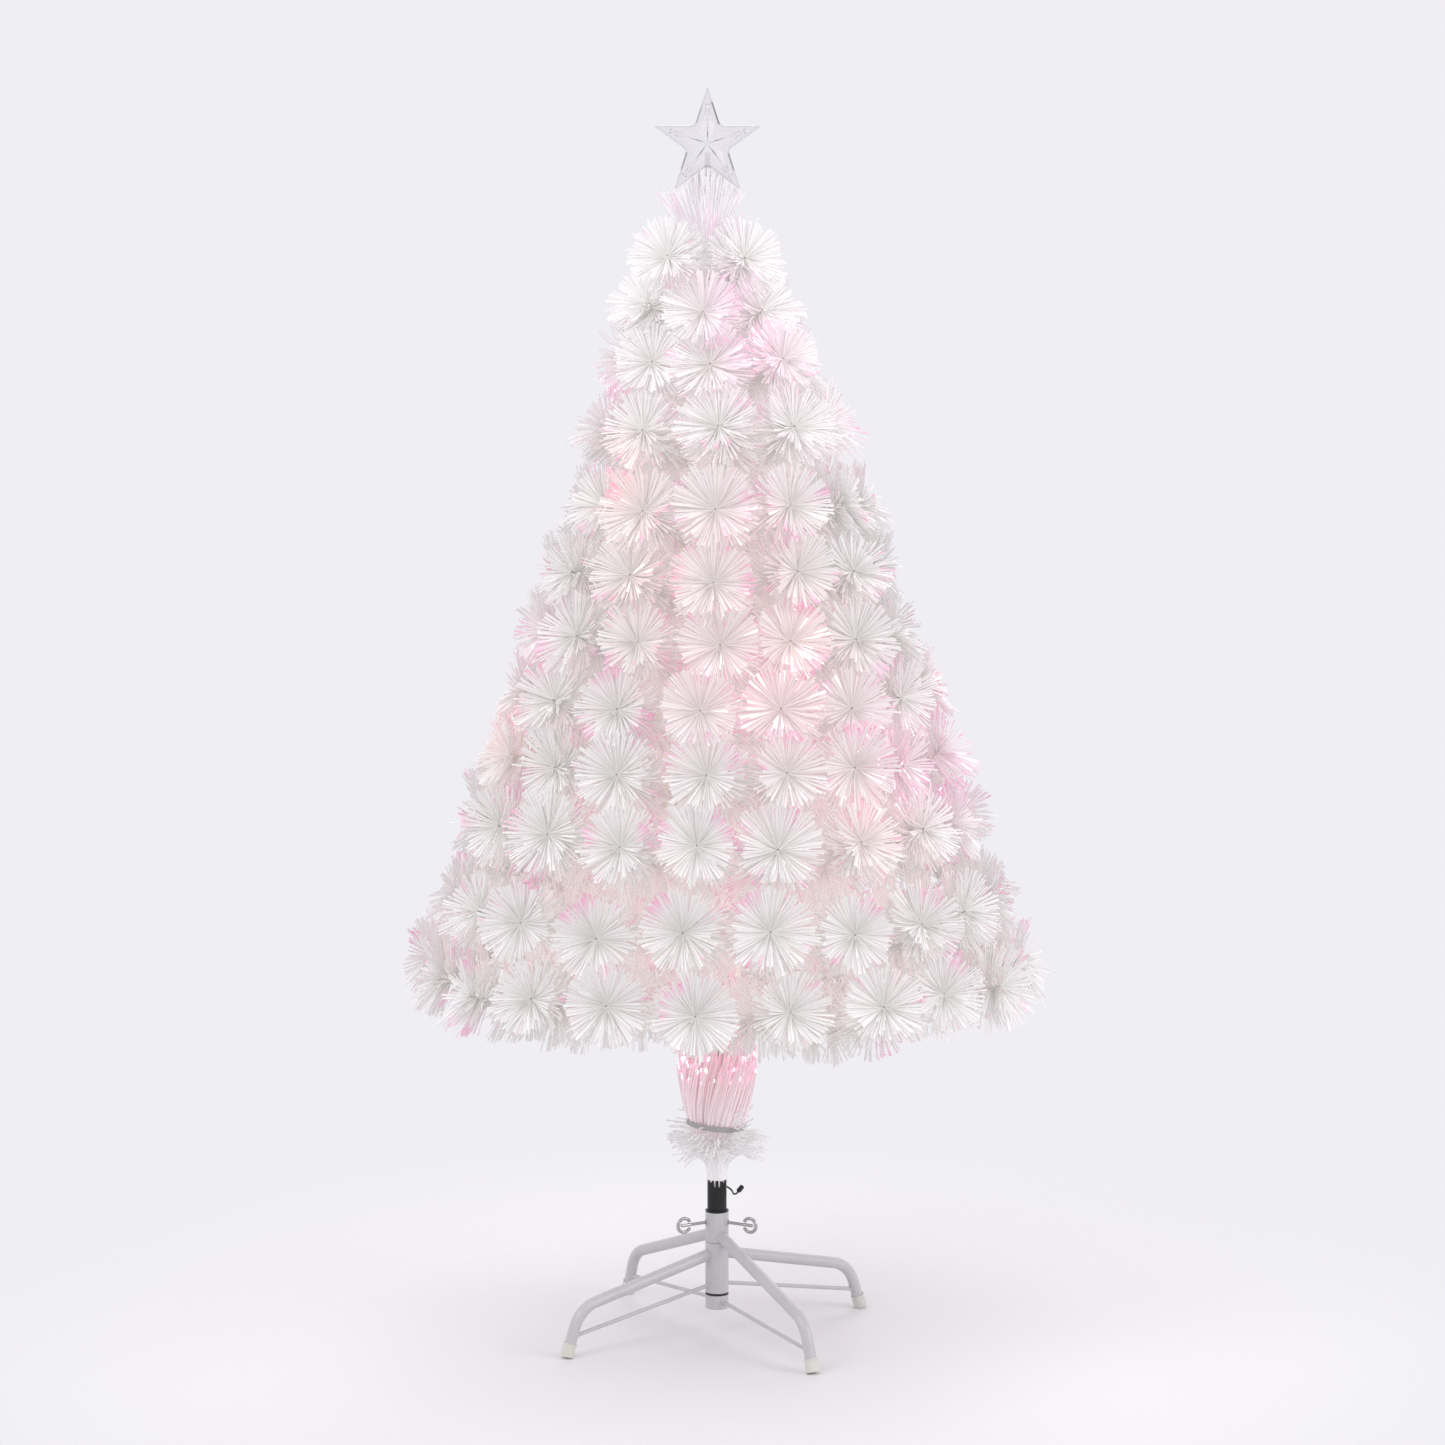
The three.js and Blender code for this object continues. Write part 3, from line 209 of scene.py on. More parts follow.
def rods(paths, radius, sides=3, tip=0.85, flat=1.0, facing=None):
    """Many thin fibres at once. paths is (fibre, step, xyz), and radius a number for each fibre.
    Corner = centre + r (1 - (1 - tip) t) (cos a side + flat sin a up), with t from 0 at the root to
    1 at the tip. Side and up are rolled by any angle, or by a few degrees where the broad side has
    a direction to face. Each fibre is closed by a flat face at either end."""
    n, steps = paths.shape[:2]
    side, up = frames(paths, facing)
    roll = rng.uniform(0, 2 * np.pi, n) if facing is None else rng.normal(0, 0.2, n)
    roll = roll[:, None, None]
    side, up = np.cos(roll) * side + np.sin(roll) * up, np.cos(roll) * up - np.sin(roll) * side
    a = (circle(sides) + np.pi / 6)[:, None]
    ring = np.cos(a) * side[:, :, None] + flat * np.sin(a) * up[:, :, None]
    r = np.broadcast_to(radius, n)[:, None] * (1 - (1 - tip) * np.linspace(0, 1, steps))
    verts = (paths[:, :, None] + r[:, :, None, None] * ring).reshape(-1, 3)
    i = sides * np.arange(steps - 1)[:, None]
    j = np.arange(sides)[None, :]
    k = (j + 1) % sides
    wall = np.stack([i + j, i + k, i + sides + k, i + sides + j], -1).reshape(-1, 4)
    ends = np.array([[0, m + 1, m] for m in range(1, sides - 1)])
    cap = np.vstack([ends, ends[:, ::-1] + (steps - 1) * sides])
    first = (np.arange(n) * steps * sides)[:, None, None]
    quads, tris = (wall[None] + first).reshape(-1, 4), (cap[None] + first).reshape(-1, 3)
    one = facing_out(verts[:steps * sides], wall, cap)
    if not np.array_equal(one[1], wall):
        quads, tris = quads[:, ::-1], tris[:, ::-1]
    return verts, quads, tris


def per_corner(values, count, steps, sides):
    """Colours for each fibre and step, repeated for the corners of each ring."""
    return np.repeat(np.broadcast_to(values, (count, steps, 3)).reshape(-1, 3), sides, axis=0)


# ---------------------------------------------------------------- pieces

LOOKS = {}


def placed(name, data):
    """New object in the scene."""
    made = bpy.data.objects.new(name, data)
    SCENE.collection.objects.link(made)
    return made


def piece(name, shell, look, body, stands_for=(), finish=None, sharp=35.0, paint=None, smooth=None):
    """Makes the mesh in metres, smooth but for edges sharper than the angle, and sets it on its
    body. finish is not used. paint maps a colour attribute's name to a value for each corner, and
    smooth tells which faces are shaded smooth."""
    verts, quads, tris = shell
    mesh = bpy.data.meshes.new(name)
    mesh.vertices.add(len(verts))
    mesh.vertices.foreach_set("co", (verts * MM).astype(np.float32).ravel())
    corners = np.concatenate([quads.ravel(), tris.ravel()]).astype(np.int32)
    starts = np.concatenate([np.arange(len(quads)) * 4, len(quads) * 4 + np.arange(len(tris)) * 3])
    mesh.loops.add(len(corners))
    mesh.loops.foreach_set("vertex_index", corners)
    mesh.polygons.add(len(starts))
    mesh.polygons.foreach_set("loop_start", starts.astype(np.int32))
    mesh.update(calc_edges=True)
    smooth = np.ones(len(starts), bool) if smooth is None else smooth
    mesh.polygons.foreach_set("use_smooth", smooth)
    if sharp:
        mesh.set_sharp_from_angle(angle=math.radians(sharp))
    for key, values in (paint or {}).items():
        layer = mesh.color_attributes.new(key, "FLOAT_COLOR", "POINT")
        rgba = np.ones((len(verts), 4), np.float32)
        rgba[:, :3] = values
        layer.data.foreach_set("color", rgba.ravel())
    mesh.materials.append(LOOKS[look])
    made = placed(name, mesh)
    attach(made, body)
    if stands_for:
        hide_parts(*stands_for)
    finish = finish or look
    return made


def fibre_piece(name, paths, radius, sides, tip, tint, glow, stands_for, finish="clear_fibre"):
    """Piece of fibres that ride on the tree, with a tint and a glow for each fibre and step."""
    size = paths.shape[0], paths.shape[1], sides
    paint = {"tint": per_corner(tint, *size), "glow": per_corner(glow, *size)}
    piece(name, rods(paths, radius, sides, tip), "drawn_fibre", "tree", stands_for, finish,
          sharp=0, paint=paint)


# ---------------------------------------------------------------- materials

def feed(tree, made, inputs):
    """Gives inputs of a node, by name or number, a value or the (node, output) it comes from."""
    for spot, value in inputs.items():
        into = made.inputs[int(spot) if spot.isdigit() else spot.replace("_", " ")]
        if isinstance(value, tuple) and isinstance(value[0], bpy.types.Node):
            tree.links.new(value[0].outputs[value[1]], into)
        else:
            into.default_value = value


def node(tree, kind, **settings):
    """New shader node with its settings; those that start with in_ go to its inputs."""
    made = tree.nodes.new("ShaderNode" + kind)
    for key, value in settings.items():
        if key.startswith("in_"):
            feed(tree, made, {key[3:]: value})
        else:
            setattr(made, key, value)
    return made


def grain_group():
    """Moulded or painted skin: two scales of noise give a mask, a roughness and a bump normal."""
    g = bpy.data.node_groups.new("surface_grain", "ShaderNodeTree")
    for title, value in (("Scale", 400.0), ("Roughness", 0.4), ("Roughness Spread", 0.1),
                         ("Bump", 0.1), ("Distance", 0.0002)):
        socket = g.interface.new_socket(title, in_out="INPUT", socket_type="NodeSocketFloat")
        socket.default_value = value
    for title, kind in (("Mask", "Float"), ("Roughness", "Float"), ("Normal", "Vector")):
        g.interface.new_socket(title, in_out="OUTPUT", socket_type="NodeSocket" + kind)
    enter, leave = g.nodes.new("NodeGroupInput"), g.nodes.new("NodeGroupOutput")
    place = node(g, "TexCoord"), "Object"
    fine = node(g, "TexNoise", in_Vector=place, in_Scale=(enter, "Scale"), in_Detail=4.0,
                in_Roughness=0.6)
    broad = node(g, "TexNoise", in_Vector=place, in_Scale=22.0, in_Detail=3.0)
    half = node(g, "Math", operation="MULTIPLY", in_0=(broad, "Fac"), in_1=0.5)
    mix = node(g, "Math", operation="MULTIPLY_ADD", in_0=(fine, "Fac"), in_1=0.5, in_2=(half, 0))
    shift = node(g, "Math", operation="SUBTRACT", in_0=(mix, 0), in_1=0.5)
    rough = node(g, "Math", operation="MULTIPLY_ADD", in_0=(shift, 0),
                 in_1=(enter, "Roughness Spread"), in_2=(enter, "Roughness"))
    bump = node(g, "Bump", in_Strength=(enter, "Bump"), in_Distance=(enter, "Distance"),
                in_Height=(fine, "Fac"))
    feed(g, leave, {"Mask": (mix, 0), "Roughness": (rough, 0), "Normal": (bump, "Normal")})
    return g


GRAIN = grain_group()


def blank(name, **sockets):
    """New material with a Principled shader, its plain values set on its own sockets."""
    made = bpy.data.materials.new(name)
    made.use_nodes = True
    tree = made.node_tree
    shader = tree.nodes["Principled BSDF"]
    feed(tree, shader, sockets)
    return made, tree, shader


def tinted(tree, source, low, high, low_at=0.35, high_at=0.65):
    """Colour between two colours by a source."""
    ramp = node(tree, "ValToRGB", in_Fac=source)
    ends = ramp.color_ramp.elements
    ends[0].position, ends[0].color = low_at, (*low, 1)
    ends[1].position, ends[1].color = high_at, (*high, 1)
    return ramp, "Color"


def product(tree, first, second):
    """Two colours multiplied."""
    return node(tree, "Mix", data_type="RGBA", blend_type="MULTIPLY", in_0=1.0, in_6=first,
                in_7=second), 2


def rough_skin(tree, shader, scale, rough, spread, bump):
    """Puts grain on a shader's roughness and normal, and gives its mask."""
    grain = node(tree, "Group", node_tree=GRAIN, in_Scale=scale, in_Roughness=rough,
                 in_Roughness_Spread=spread, in_Bump=bump)
    feed(tree, shader, {"Roughness": (grain, "Roughness"), "Normal": (grain, "Normal")})
    return grain, "Mask"


def grained(name, low, high, *grain, **sockets):
    """Plain finish with grain: colour between two tones by the grain's mask."""
    made, tree, shader = blank(name, **sockets)
    mask = rough_skin(tree, shader, *grain)
    feed(tree, shader, {"Base Color": tinted(tree, mask, low, high)})
    return made


def fibre_material():
    """Drawn plastic fibre: painted tint times a fine streak, glow colour as emission, and a gloss
    that varies."""
    made, tree, shader = blank("drawn_fibre", IOR=1.5, Emission_Strength=1.0)
    tint, glow = ((node(tree, "Attribute", attribute_name=name), "Color")
                  for name in ("tint", "glow"))
    mask = rough_skin(tree, shader, 900.0, 0.3, 0.35, 0.12)
    streak = tinted(tree, mask, (0.93, 0.93, 0.93), (1.0, 1.0, 1.0), 0.3, 0.7)
    feed(tree, shader, {"Base Color": product(tree, tint, streak), "Emission Color": glow})
    return made


def clear_material():
    """Clear moulded star: glass that is frosted by fine glitter cells in its bump and roughness,
    and darkened by the painted shade."""
    made, tree, shader = blank("clear_star", IOR=1.38, Transmission_Weight=1.0)
    place = node(tree, "TexCoord"), "Object"
    cells = node(tree, "TexVoronoi", in_Vector=place, in_Scale=800.0)
    noise = node(tree, "TexNoise", in_Vector=place, in_Scale=160.0, in_Detail=4.0)
    rough = node(tree, "MapRange", in_Value=(noise, "Fac"), in_From_Min=0.3, in_From_Max=0.7,
                 in_To_Min=0.06, in_To_Max=0.15)
    shade = tinted(tree, (cells, "Color"), (0.93, 0.92, 0.935), (0.99, 0.985, 0.995), 0.0, 0.8)
    wall = node(tree, "Attribute", attribute_name="shade"), "Color"
    bump = node(tree, "Bump", in_Strength=0.02, in_Distance=0.0004, in_Height=(cells, "Distance"))
    feed(tree, shader, {"Base Color": product(tree, shade, wall), "Roughness": (rough, "Result"),
                        "Normal": (bump, "Normal")})
    return made


# Plain finishes: two tones, scale of the grain, roughness, its spread, bump and own values
FINISHES = {
    "painted_steel": ((0.5, 0.495, 0.525), (0.56, 0.555, 0.585), 260.0, 0.34, 0.12, 0.05,
                      {"Coat_Weight": 0.35, "Coat_Roughness": 0.15}),
    "black_tube": ((0.012, 0.012, 0.012), (0.02, 0.02, 0.02), 340.0, 0.4, 0.2, 0.08,
                   {"Specular_IOR_Level": 0.25}),
    "black_plastic": ((0.01, 0.01, 0.011), (0.017, 0.017, 0.018), 600.0, 0.42, 0.2, 0.12, {}),
    "foot_plastic": ((0.63, 0.62, 0.58), (0.72, 0.71, 0.67), 500.0, 0.42, 0.15, 0.1,
                     {"Subsurface_Weight": 0.25, "Subsurface_Scale": 0.003}),
    "chrome": ((0.4, 0.395, 0.39), (0.5, 0.495, 0.49), 700.0, 0.22, 0.16, 0.06, {"Metallic": 1.0}),
    "branch_wire": ((0.2, 0.18, 0.12), (0.34, 0.31, 0.23), 900.0, 0.45, 0.2, 0.2,
                    {"Metallic": 0.3}),
    "trunk_steel": ((0.16, 0.15, 0.13), (0.28, 0.27, 0.25), 500.0, 0.4, 0.25, 0.15,
                    {"Metallic": 0.8}),
    "grey_tie": ((0.36, 0.355, 0.35), (0.44, 0.435, 0.43), 800.0, 0.5, 0.15, 0.2, {}),
    "light_board": ((0.7, 0.68, 0.6), (0.78, 0.76, 0.68), 500.0, 0.45, 0.15, 0.1, {}),
    "ferrule_plastic": ((0.64, 0.64, 0.66), (0.74, 0.74, 0.76), 500.0, 0.4, 0.15, 0.1, {}),
    # The wrap tape's emission is painted light that lifts the shaded gaps between the fans.
    "wrap_tape": ((0.8, 0.7, 0.68), (0.9, 0.84, 0.82), 300.0, 0.5, 0.2, 0.3,
                  {"Emission_Color": (1.0, 0.86, 0.85, 1), "Emission_Strength": 0.3}),
}
for look, (*values, own) in FINISHES.items():
    LOOKS[look] = grained(look, *values, **own)
LOOKS["drawn_fibre"] = fibre_material()
LOOKS["clear_star"] = clear_material()


# ---------------------------------------------------------------- camera and cord

def make_camera():
    """Camera at the height and distance of the photograph, looking along +Y and a little down."""
    data = bpy.data.cameras.new("view_camera")
    data.sensor_width, data.lens, data.clip_end = 36.0, 99.65, 60.0
    made = placed("view_camera", data)
    made.location = (0.0067, -4.753, 1.338)
    made.rotation_euler = (math.radians(90 - 7.06), 0, 0)
    SCENE.camera = made


LEAD_EXIT_REACH, LEAD_AZIMUTH, LEAD_Z, LEAD_RADIUS = 13.3, 55.0, 178.5, 1.1
LEAD_ROUTE = [[9.2, 13.1, 178.3], [11.8, 15.7, 177.3], [14.6, 16.6, 175.6], [17.6, 15.0, 173.4],
              [19.0, 11.2, 171.9], [19.8, 7.0, 171.2], [21.5, 3.7, 171.2], [23.7, 1.9, 172.2],
              [25.3, 0.8, 174.5]]


def smooth_path(points, per=6):
    """Curve through all points: between P1 and P2 it is the cubic whose slope at each point
    is half the step from the point before it to the point after it."""
    p = np.asarray(points, float)
    p = np.vstack([2 * p[0] - p[1], p, 2 * p[-1] - p[-2]])
    t = np.linspace(0, 1, per, endpoint=False)[None, :, None]
    a, b, c, d = p[:-3, None], p[1:-2, None], p[2:-1, None], p[3:, None]
    curve = 0.5 * (2 * b + (c - a) * t + (2 * a - 5 * b + 4 * c - d) * t ** 2
                   + (3 * b - a - 3 * c + d) * t ** 3)
    return np.vstack([curve.reshape(-1, 3), p[-2]])


def make_lead():
    """Short low voltage lead from the grommet, round the pole to its small socket."""
    start = polar(LEAD_EXIT_REACH, math.radians(LEAD_AZIMUTH), LEAD_Z)
    path = smooth_path([start] + LEAD_ROUTE)
    lead = piece("power_lead_sleeve", tube(path, LEAD_RADIUS, 16), "black_plastic", "tree",
                 ["power_lead"])


make_camera()
make_lead()


# ---------------------------------------------------------------- hub and pole

def cut_away(whole, cutters):
    """Takes boxes, as (centre, size) pairs in millimetres, out of a piece."""
    corners = np.array([[x, y, z] for x in (-0.5, 0.5) for y in (-0.5, 0.5) for z in (-0.5, 0.5)])
    faces = [(0, 1, 3, 2), (4, 6, 7, 5), (0, 4, 5, 1), (2, 3, 7, 6), (0, 2, 6, 4), (1, 5, 7, 3)]
    for centre, size in cutters:
        mesh = bpy.data.meshes.new("cutter")
        mesh.from_pydata(((corners * size + centre) * MM).tolist(), [], faces)
        box = placed("cutter", mesh)
        change = whole.modifiers.new("cut", "BOOLEAN")
        change.object, change.operation, change.solver = box, "DIFFERENCE", "EXACT"
        bpy.context.view_layer.update()
        after = whole.evaluated_get(bpy.context.evaluated_depsgraph_get())
        result = bpy.data.meshes.new_from_object(after)
        whole.modifiers.clear()
        whole.data = result
        bpy.data.objects.remove(box)
    whole.data.set_sharp_from_angle(angle=math.radians(35))


def make_hub():
    """Collar, washer, two sleeves, of which the upper one has the screw bosses, and bushing, as
    turned rings with rounded edges."""
    sleeve = SLEEVE_BORE, SLEEVE_RADIUS
    collar = piece("collar_ring", ring_of(*sleeve, *COLLAR, 0.7), "painted_steel", "stand",
                   ["hub_bottom_collar"])
    cut_away(collar, COLLAR_SLOTS)
    piece("washer_ring", ring_of(SLEEVE_BORE, SLEEVE_RADIUS - 0.15, *WASHER, 0.5), "black_plastic",
          "stand", ["hub_washer"])
    piece("lower_sleeve_tube", ring_of(*sleeve, *LOWER_SLEEVE, 0.6), "painted_steel",
          "folding_legs", ["hub_lower_sleeve"])
    boss = along_x(turned(eased(SCREW_BOSS, 0.3), 40))
    bosses = [spun(boss, azimuth, polar(SLEEVE_BORE, math.radians(azimuth), SCREW_Z))
              for azimuth in SCREW_AZIMUTHS.values()]
    piece("upper_sleeve_tube", together([ring_of(*sleeve, *UPPER_SLEEVE, 0.6)] + bosses),
          "painted_steel", "stand", ["hub_upper_sleeve"])
    piece("mouth_bushing", turned(eased(BUSHING, 0.3)), "black_plastic", "bushing",
          ["pole_bushing"])


def make_pole():
    """Black tube with two narrow notches at the front of its top."""
    wall = piece("pole_skin", ring_of(POLE_BORE, POLE_RADIUS, POLE_BOTTOM, POLE_TOP, 0.35),
                 "black_tube", "tree", ["pole_tube"])
    cut_away(wall, [((hand * NOTCH_OFFSET, -POLE_RADIUS, POLE_TOP),
                     (NOTCH_WIDTH, POLE_RADIUS, 2 * NOTCH_DEPTH)) for hand in (-1, 1)])


make_hub()
make_pole()


# ---------------------------------------------------------------- legs, braces and feet

def leg_path(root_z):
    """Centre line of a leg in the reach and height plane: straight from the hub, a circular bend
    of the knee radius, and straight to the foot; the bend's centre lies on the corner's bisector.
    Also the direction down to the foot."""
    down = unit(np.array([FOOT_FLARE, -KNEE_Z]))
    root, knee = np.array([SLEEVE_RADIUS + 0.3, root_z]), np.array([KNEE_REACH, KNEE_Z])
    cap = np.array([KNEE_REACH + FOOT_FLARE, FOOT_RADIUS * down[0] - FOOT_SINK])
    back = unit(root - knee)
    half = math.acos(float(back @ down)) / 2
    start, end = (knee + way * KNEE_BEND / math.tan(half) for way in (back, down))
    centre = knee + unit(back + down) * KNEE_BEND / math.sin(half)
    a0, a1 = (math.atan2(*(q - centre)[::-1]) for q in (start, end))
    a = np.linspace(a0, a1, 20)
    bend = centre + KNEE_BEND * np.stack([np.cos(a), np.sin(a)], -1)
    first = root + (start - root) * np.linspace(0, 1, 10, endpoint=False)[:, None]
    last = end + (cap - down * FOOT_FLOOR - end) * np.linspace(0, 1, 6)[1:, None]
    return np.vstack([first, bend, last]), down


def leg_shell(path):
    """Tube of the leg, with its first ring slid along the leg until it lies on the round sleeve.
    Also that ring."""
    line = np.stack([path[:, 0], 0 * path[:, 0], path[:, 1]], -1)
    way = unit(np.gradient(line, axis=0))
    side = np.array([0.0, 1.0, 0.0])
    up = np.cross(side, way)
    a = circle(32)[None, :, None]
    rows = line[:, None] + LEG_RADIUS * (np.cos(a) * side + np.sin(a) * up[:, None])
    slide = np.sqrt((SLEEVE_RADIUS + 0.05) ** 2 - rows[0, :, 1] ** 2) - rows[0, :, 0]
    rows[0] += slide[:, None] / way[0, 0] * way[0]
    return skin(rows), rows[0]


def make_leg(side, body, root_z, brace_z):
    """Leg, weld bead, brace and foot cap of one side. The bead is rippled round the joint, and the
    brace runs from a small weld on the hub to the leg above its foot."""
    azimuth = LEG_AZIMUTHS[side]
    path, down = leg_path(root_z)
    shell, ring = leg_shell(path)
    bead = tube(ring, WELD_RADIUS + 0.12 * np.sin(np.arange(len(ring)) * 2.4), 10, loop=True)
    reach = KNEE_REACH + FOOT_FLARE - 25.0 * down[0] / -down[1] - 6.2
    t = np.linspace(0, 1, 12)[:, None]
    line = (np.array([SLEEVE_RADIUS - 0.4, 0, brace_z]) * (1 - t)
            + np.array([reach, 0, BRACE_FOOT_Z]) * t)
    drop = turned(eased([[0.3, -1.2], [3.7, -1.2], [3.0, 0.6], [0.3, 0.9]], 0.4), 48, closed=False)
    brace = together([tube(line, BRACE_RADIUS, 20),
                      spun(along_x(drop), 0, line[0] + [WELD_RADIUS, 0, 0])])
    for name, made, nodes in (("leg_tube_", shell, ["leg_" + side]), ("leg_weld_", bead, ()),
                              ("brace_rod_", brace, ["brace_" + side])):
        piece(name + side, spun(made, azimuth), "painted_steel", body, nodes)
    make_foot(side, azimuth, body, down)


def make_foot(side, azimuth, body, down):
    """Foot cap: a cup with a lip, tilted with the leg, and its lowest corner pressed flat on the
    floor."""
    cup = turned(eased([[0.4, 0], [8.2, 0], [8.2, 14.6], [8.8, 15.2], [8.8, 15.9], [8.2, 16.5],
                        [7.3, 16.5], [7.3, 2.5], [0.4, 2.5]], 0.5), 56)
    floor = turned([[0.5, 0.02], [0.5, 2.48]], 12, closed=False)
    verts, quads, tris = tilted(together([cup, floor]), math.atan2(-down[0], -down[1]))
    verts += [KNEE_REACH + FOOT_FLARE, 0, FOOT_RADIUS * down[0] - FOOT_SINK]
    verts[:, 2] = np.maximum(verts[:, 2], 0.0)
    piece("foot_cup_" + side, spun((verts, quads, tris), azimuth), "foot_plastic", body,
          ["foot_cap_" + side])


# Side, body, and the heights at which the leg and its brace leave the hub
for leg in (("front_right", "stand", 120.0, 41.0), ("back_left", "stand", 120.0, 41.0),
            ("back_right", "folding_legs", 98.0, 60.0), ("front_left", "folding_legs", 98.0, 60.0)):
    make_leg(*leg)


# ---------------------------------------------------------------- thumbscrews

def screw_shell():
    """Threaded shank along Z: radius r - depth |2 frac(z / pitch - a / 2 pi) - 1|, plain near the
    eye, with a tapered start and a rounded end."""
    end = EYE_DISTANCE + EYE_RING - EYE_WIRE - 2.2
    z = np.linspace(SCREW_START, end, 260)[:, None]
    a = circle(24)[None, :]
    wave = np.abs(2 * ((z / THREAD_PITCH - a / (2 * np.pi)) % 1.0) - 1)
    r = SCREW_RADIUS - THREAD_DEPTH * wave * np.clip((THREAD_END - z) / 2.0, 0, 1)
    r = r - 0.5 * np.clip((SCREW_START + 1.2 - z) / 1.2, 0, 1)
    return skin(polar(r - 0.25 * np.clip((z - end + 0.6) / 0.6, 0, 1), a, z))


def make_screws():
    """Three thumbscrews: threaded shank and bent wire eye, each on its own body. The eye is a ring
    that is open for the shank and has rounded ends."""
    gap = 0.9 * math.asin((SCREW_RADIUS + 0.6) / (EYE_RING - EYE_WIRE))
    a = np.linspace(math.pi + gap, 3 * math.pi - gap, 60)
    ring = np.stack([EYE_DISTANCE + EYE_RING * np.cos(a), 0 * a, EYE_RING * np.sin(a)], -1)
    past = (np.abs(np.linspace(-1, 1, 60)) - 0.955).clip(0) / 0.046
    wire = EYE_WIRE * np.sqrt(np.clip(1 - past ** 2, 0.02, 1))
    for side, azimuth in SCREW_AZIMUTHS.items():
        for name, shell, body, stands_for in (
                ("screw_thread_", along_x(screw_shell()), "screw_", "thumbscrew_shank_"),
                ("screw_eye_", tube(ring, wire, 20), "eye_", "thumbscrew_eye_")):
            piece(name + side, spun(shell, azimuth, (0, 0, SCREW_Z)), "chrome", body + side,
                  [stands_for + side])


make_screws()


# ---------------------------------------------------------------- fibres

def lean(z):
    """Sideways lean of the trunk: -11 (3 s^2 - 2 s^3), with s from 0 at 500 to 1 at 1330."""
    s = np.clip((z - 500.0) / 830.0, 0, 1)
    return STAR_X * s * s * (3 - 2 * s)


def leaned(points):
    """Points sheared along the leaning trunk."""
    level = 0 * points[..., 0]
    return points + np.stack([lean(points[..., 2]), level, level], -1)


def tier_place(tier):
    """Rise, reach and heights of a tier: share is 0 at the lowest tip and 1 at the highest,
    reach = top + (base - top) (1 - share) (1 + bulge share), and the branch rises from 8 to 30
    degrees."""
    tip_z = TIER_TIPS[tier]
    share = (tip_z - TIER_TIPS[0]) / (TIER_TIPS[-1] - TIER_TIPS[0])
    rise = math.radians(8 + 22 * share)
    reach = TOP_REACH + (BASE_REACH - TOP_REACH) * (1 - share) * (1 + BULGE * share)
    tip_reach = reach - (BURST_DEPTH * math.cos(rise) + BURST_RADIUS * math.sin(rise))
    return share, rise, tip_reach, tip_z, tip_z - tip_reach * math.tan(rise)


# Lit patches of the foliage: x, y, z, spread, strength and warmth (0 pink, 1 salmon)
LIT_PATCHES = np.array([
    [-95, -210, 955, 45, 1.0, 1.0], [115, -230, 880, 50, 1.0, 0.8],
    [-125, -120, 1050, 40, 0.9, 0.9],
    [-245, -60, 735, 40, 0.8, 0.8], [55, -110, 1200, 45, 0.7, 0.1], [190, -150, 720, 60, 0.8, 0.1],
    [165, -210, 655, 45, 0.7, 0.9], [275, -60, 690, 50, 0.7, 0.0], [70, -240, 800, 60, 0.5, 0.4],
    [-200, -60, 850, 40, 0.5, 0.0], [-300, 0, 505, 45, 0.6, 0.0], [-115, 0, 1140, 40, 0.5, 0.0],
    [10, -90, 1265, 30, 0.5, 0.0], [-20, -230, 840, 80, 0.35, 0.5], [40, -170, 1000, 60, 0.4, 0.4],
    [90, 210, 900, 50, 0.9, 0.8], [-110, 190, 1010, 50, 0.8, 0.2], [200, 200, 640, 60, 0.8, 0.6],
    [-230, 170, 700, 60, 0.8, 0.1], [-40, 130, 1160, 45, 0.8, 0.9], [120, 300, 520, 50, 0.7, 0.1],
    [250, 60, 800, 50, 0.6, 0.5], [-60, 300, 610, 60, 0.6, 0.9], [150, 40, 1090, 40, 0.6, 0.1],
], float)


def lit_by_patch(points):
    """Strength and warmth at points: sum over the patches of strength (0.75 exp(-d^2 / 2 s^2) +
    0.25 exp(-d^2 / 8 s^2)), with s 0.6 of the spread, so each is a hot spot in a faint halo."""
    place, spread, strength, warmth = np.split(LIT_PATCHES, [3, 4, 5], axis=1)
    d2 = ((points[:, None] - place[None]) ** 2).sum(-1) / (0.6 * spread[:, 0]) ** 2
    w = strength[:, 0] * (0.75 * np.exp(-d2 / 2) + 0.25 * np.exp(-d2 / 8))
    total = w.sum(1)
    return np.clip(total, 0, 1), (w * warmth[:, 0]).sum(1) / np.maximum(total, 1e-6)


PINK, SALMON, BRIGHT_END = np.array([[1.0, 0.42, 0.72], [1.0, 0.6, 0.48], [1.0, 0.36, 0.66]])
# Tints of outer fibres, and of fibres deep in the tree, whose warm colour is a painted shade.
WHITE, INNER_SHADE = np.array([[0.69, 0.672, 0.676], [0.87, 0.775, 0.772]])
# Painted top light: whiter tints for fibres high on the tree.
WHITE_TOP_LIGHT, INNER_SHADE_TOP_LIGHT = np.array([[0.81, 0.79, 0.8], [0.92, 0.87, 0.88]])
# Painted fill glow, for light scattered through the fibres, outside and deep in the tree; and the
# painted shade of the fibre roots.
ROOT_PAINTED_SHADE, WHITE_FILL_GLOW = np.array([[0.2, 0.19, 0.23], [0.195, 0.1872, 0.188175]])
INNER_FILL_GLOW, PATCH_GLOW, TIP_GLOW, HOT_GLOW, PATCH_TINT = 0.275, 0.13, 0.24, 0.8, 0.5


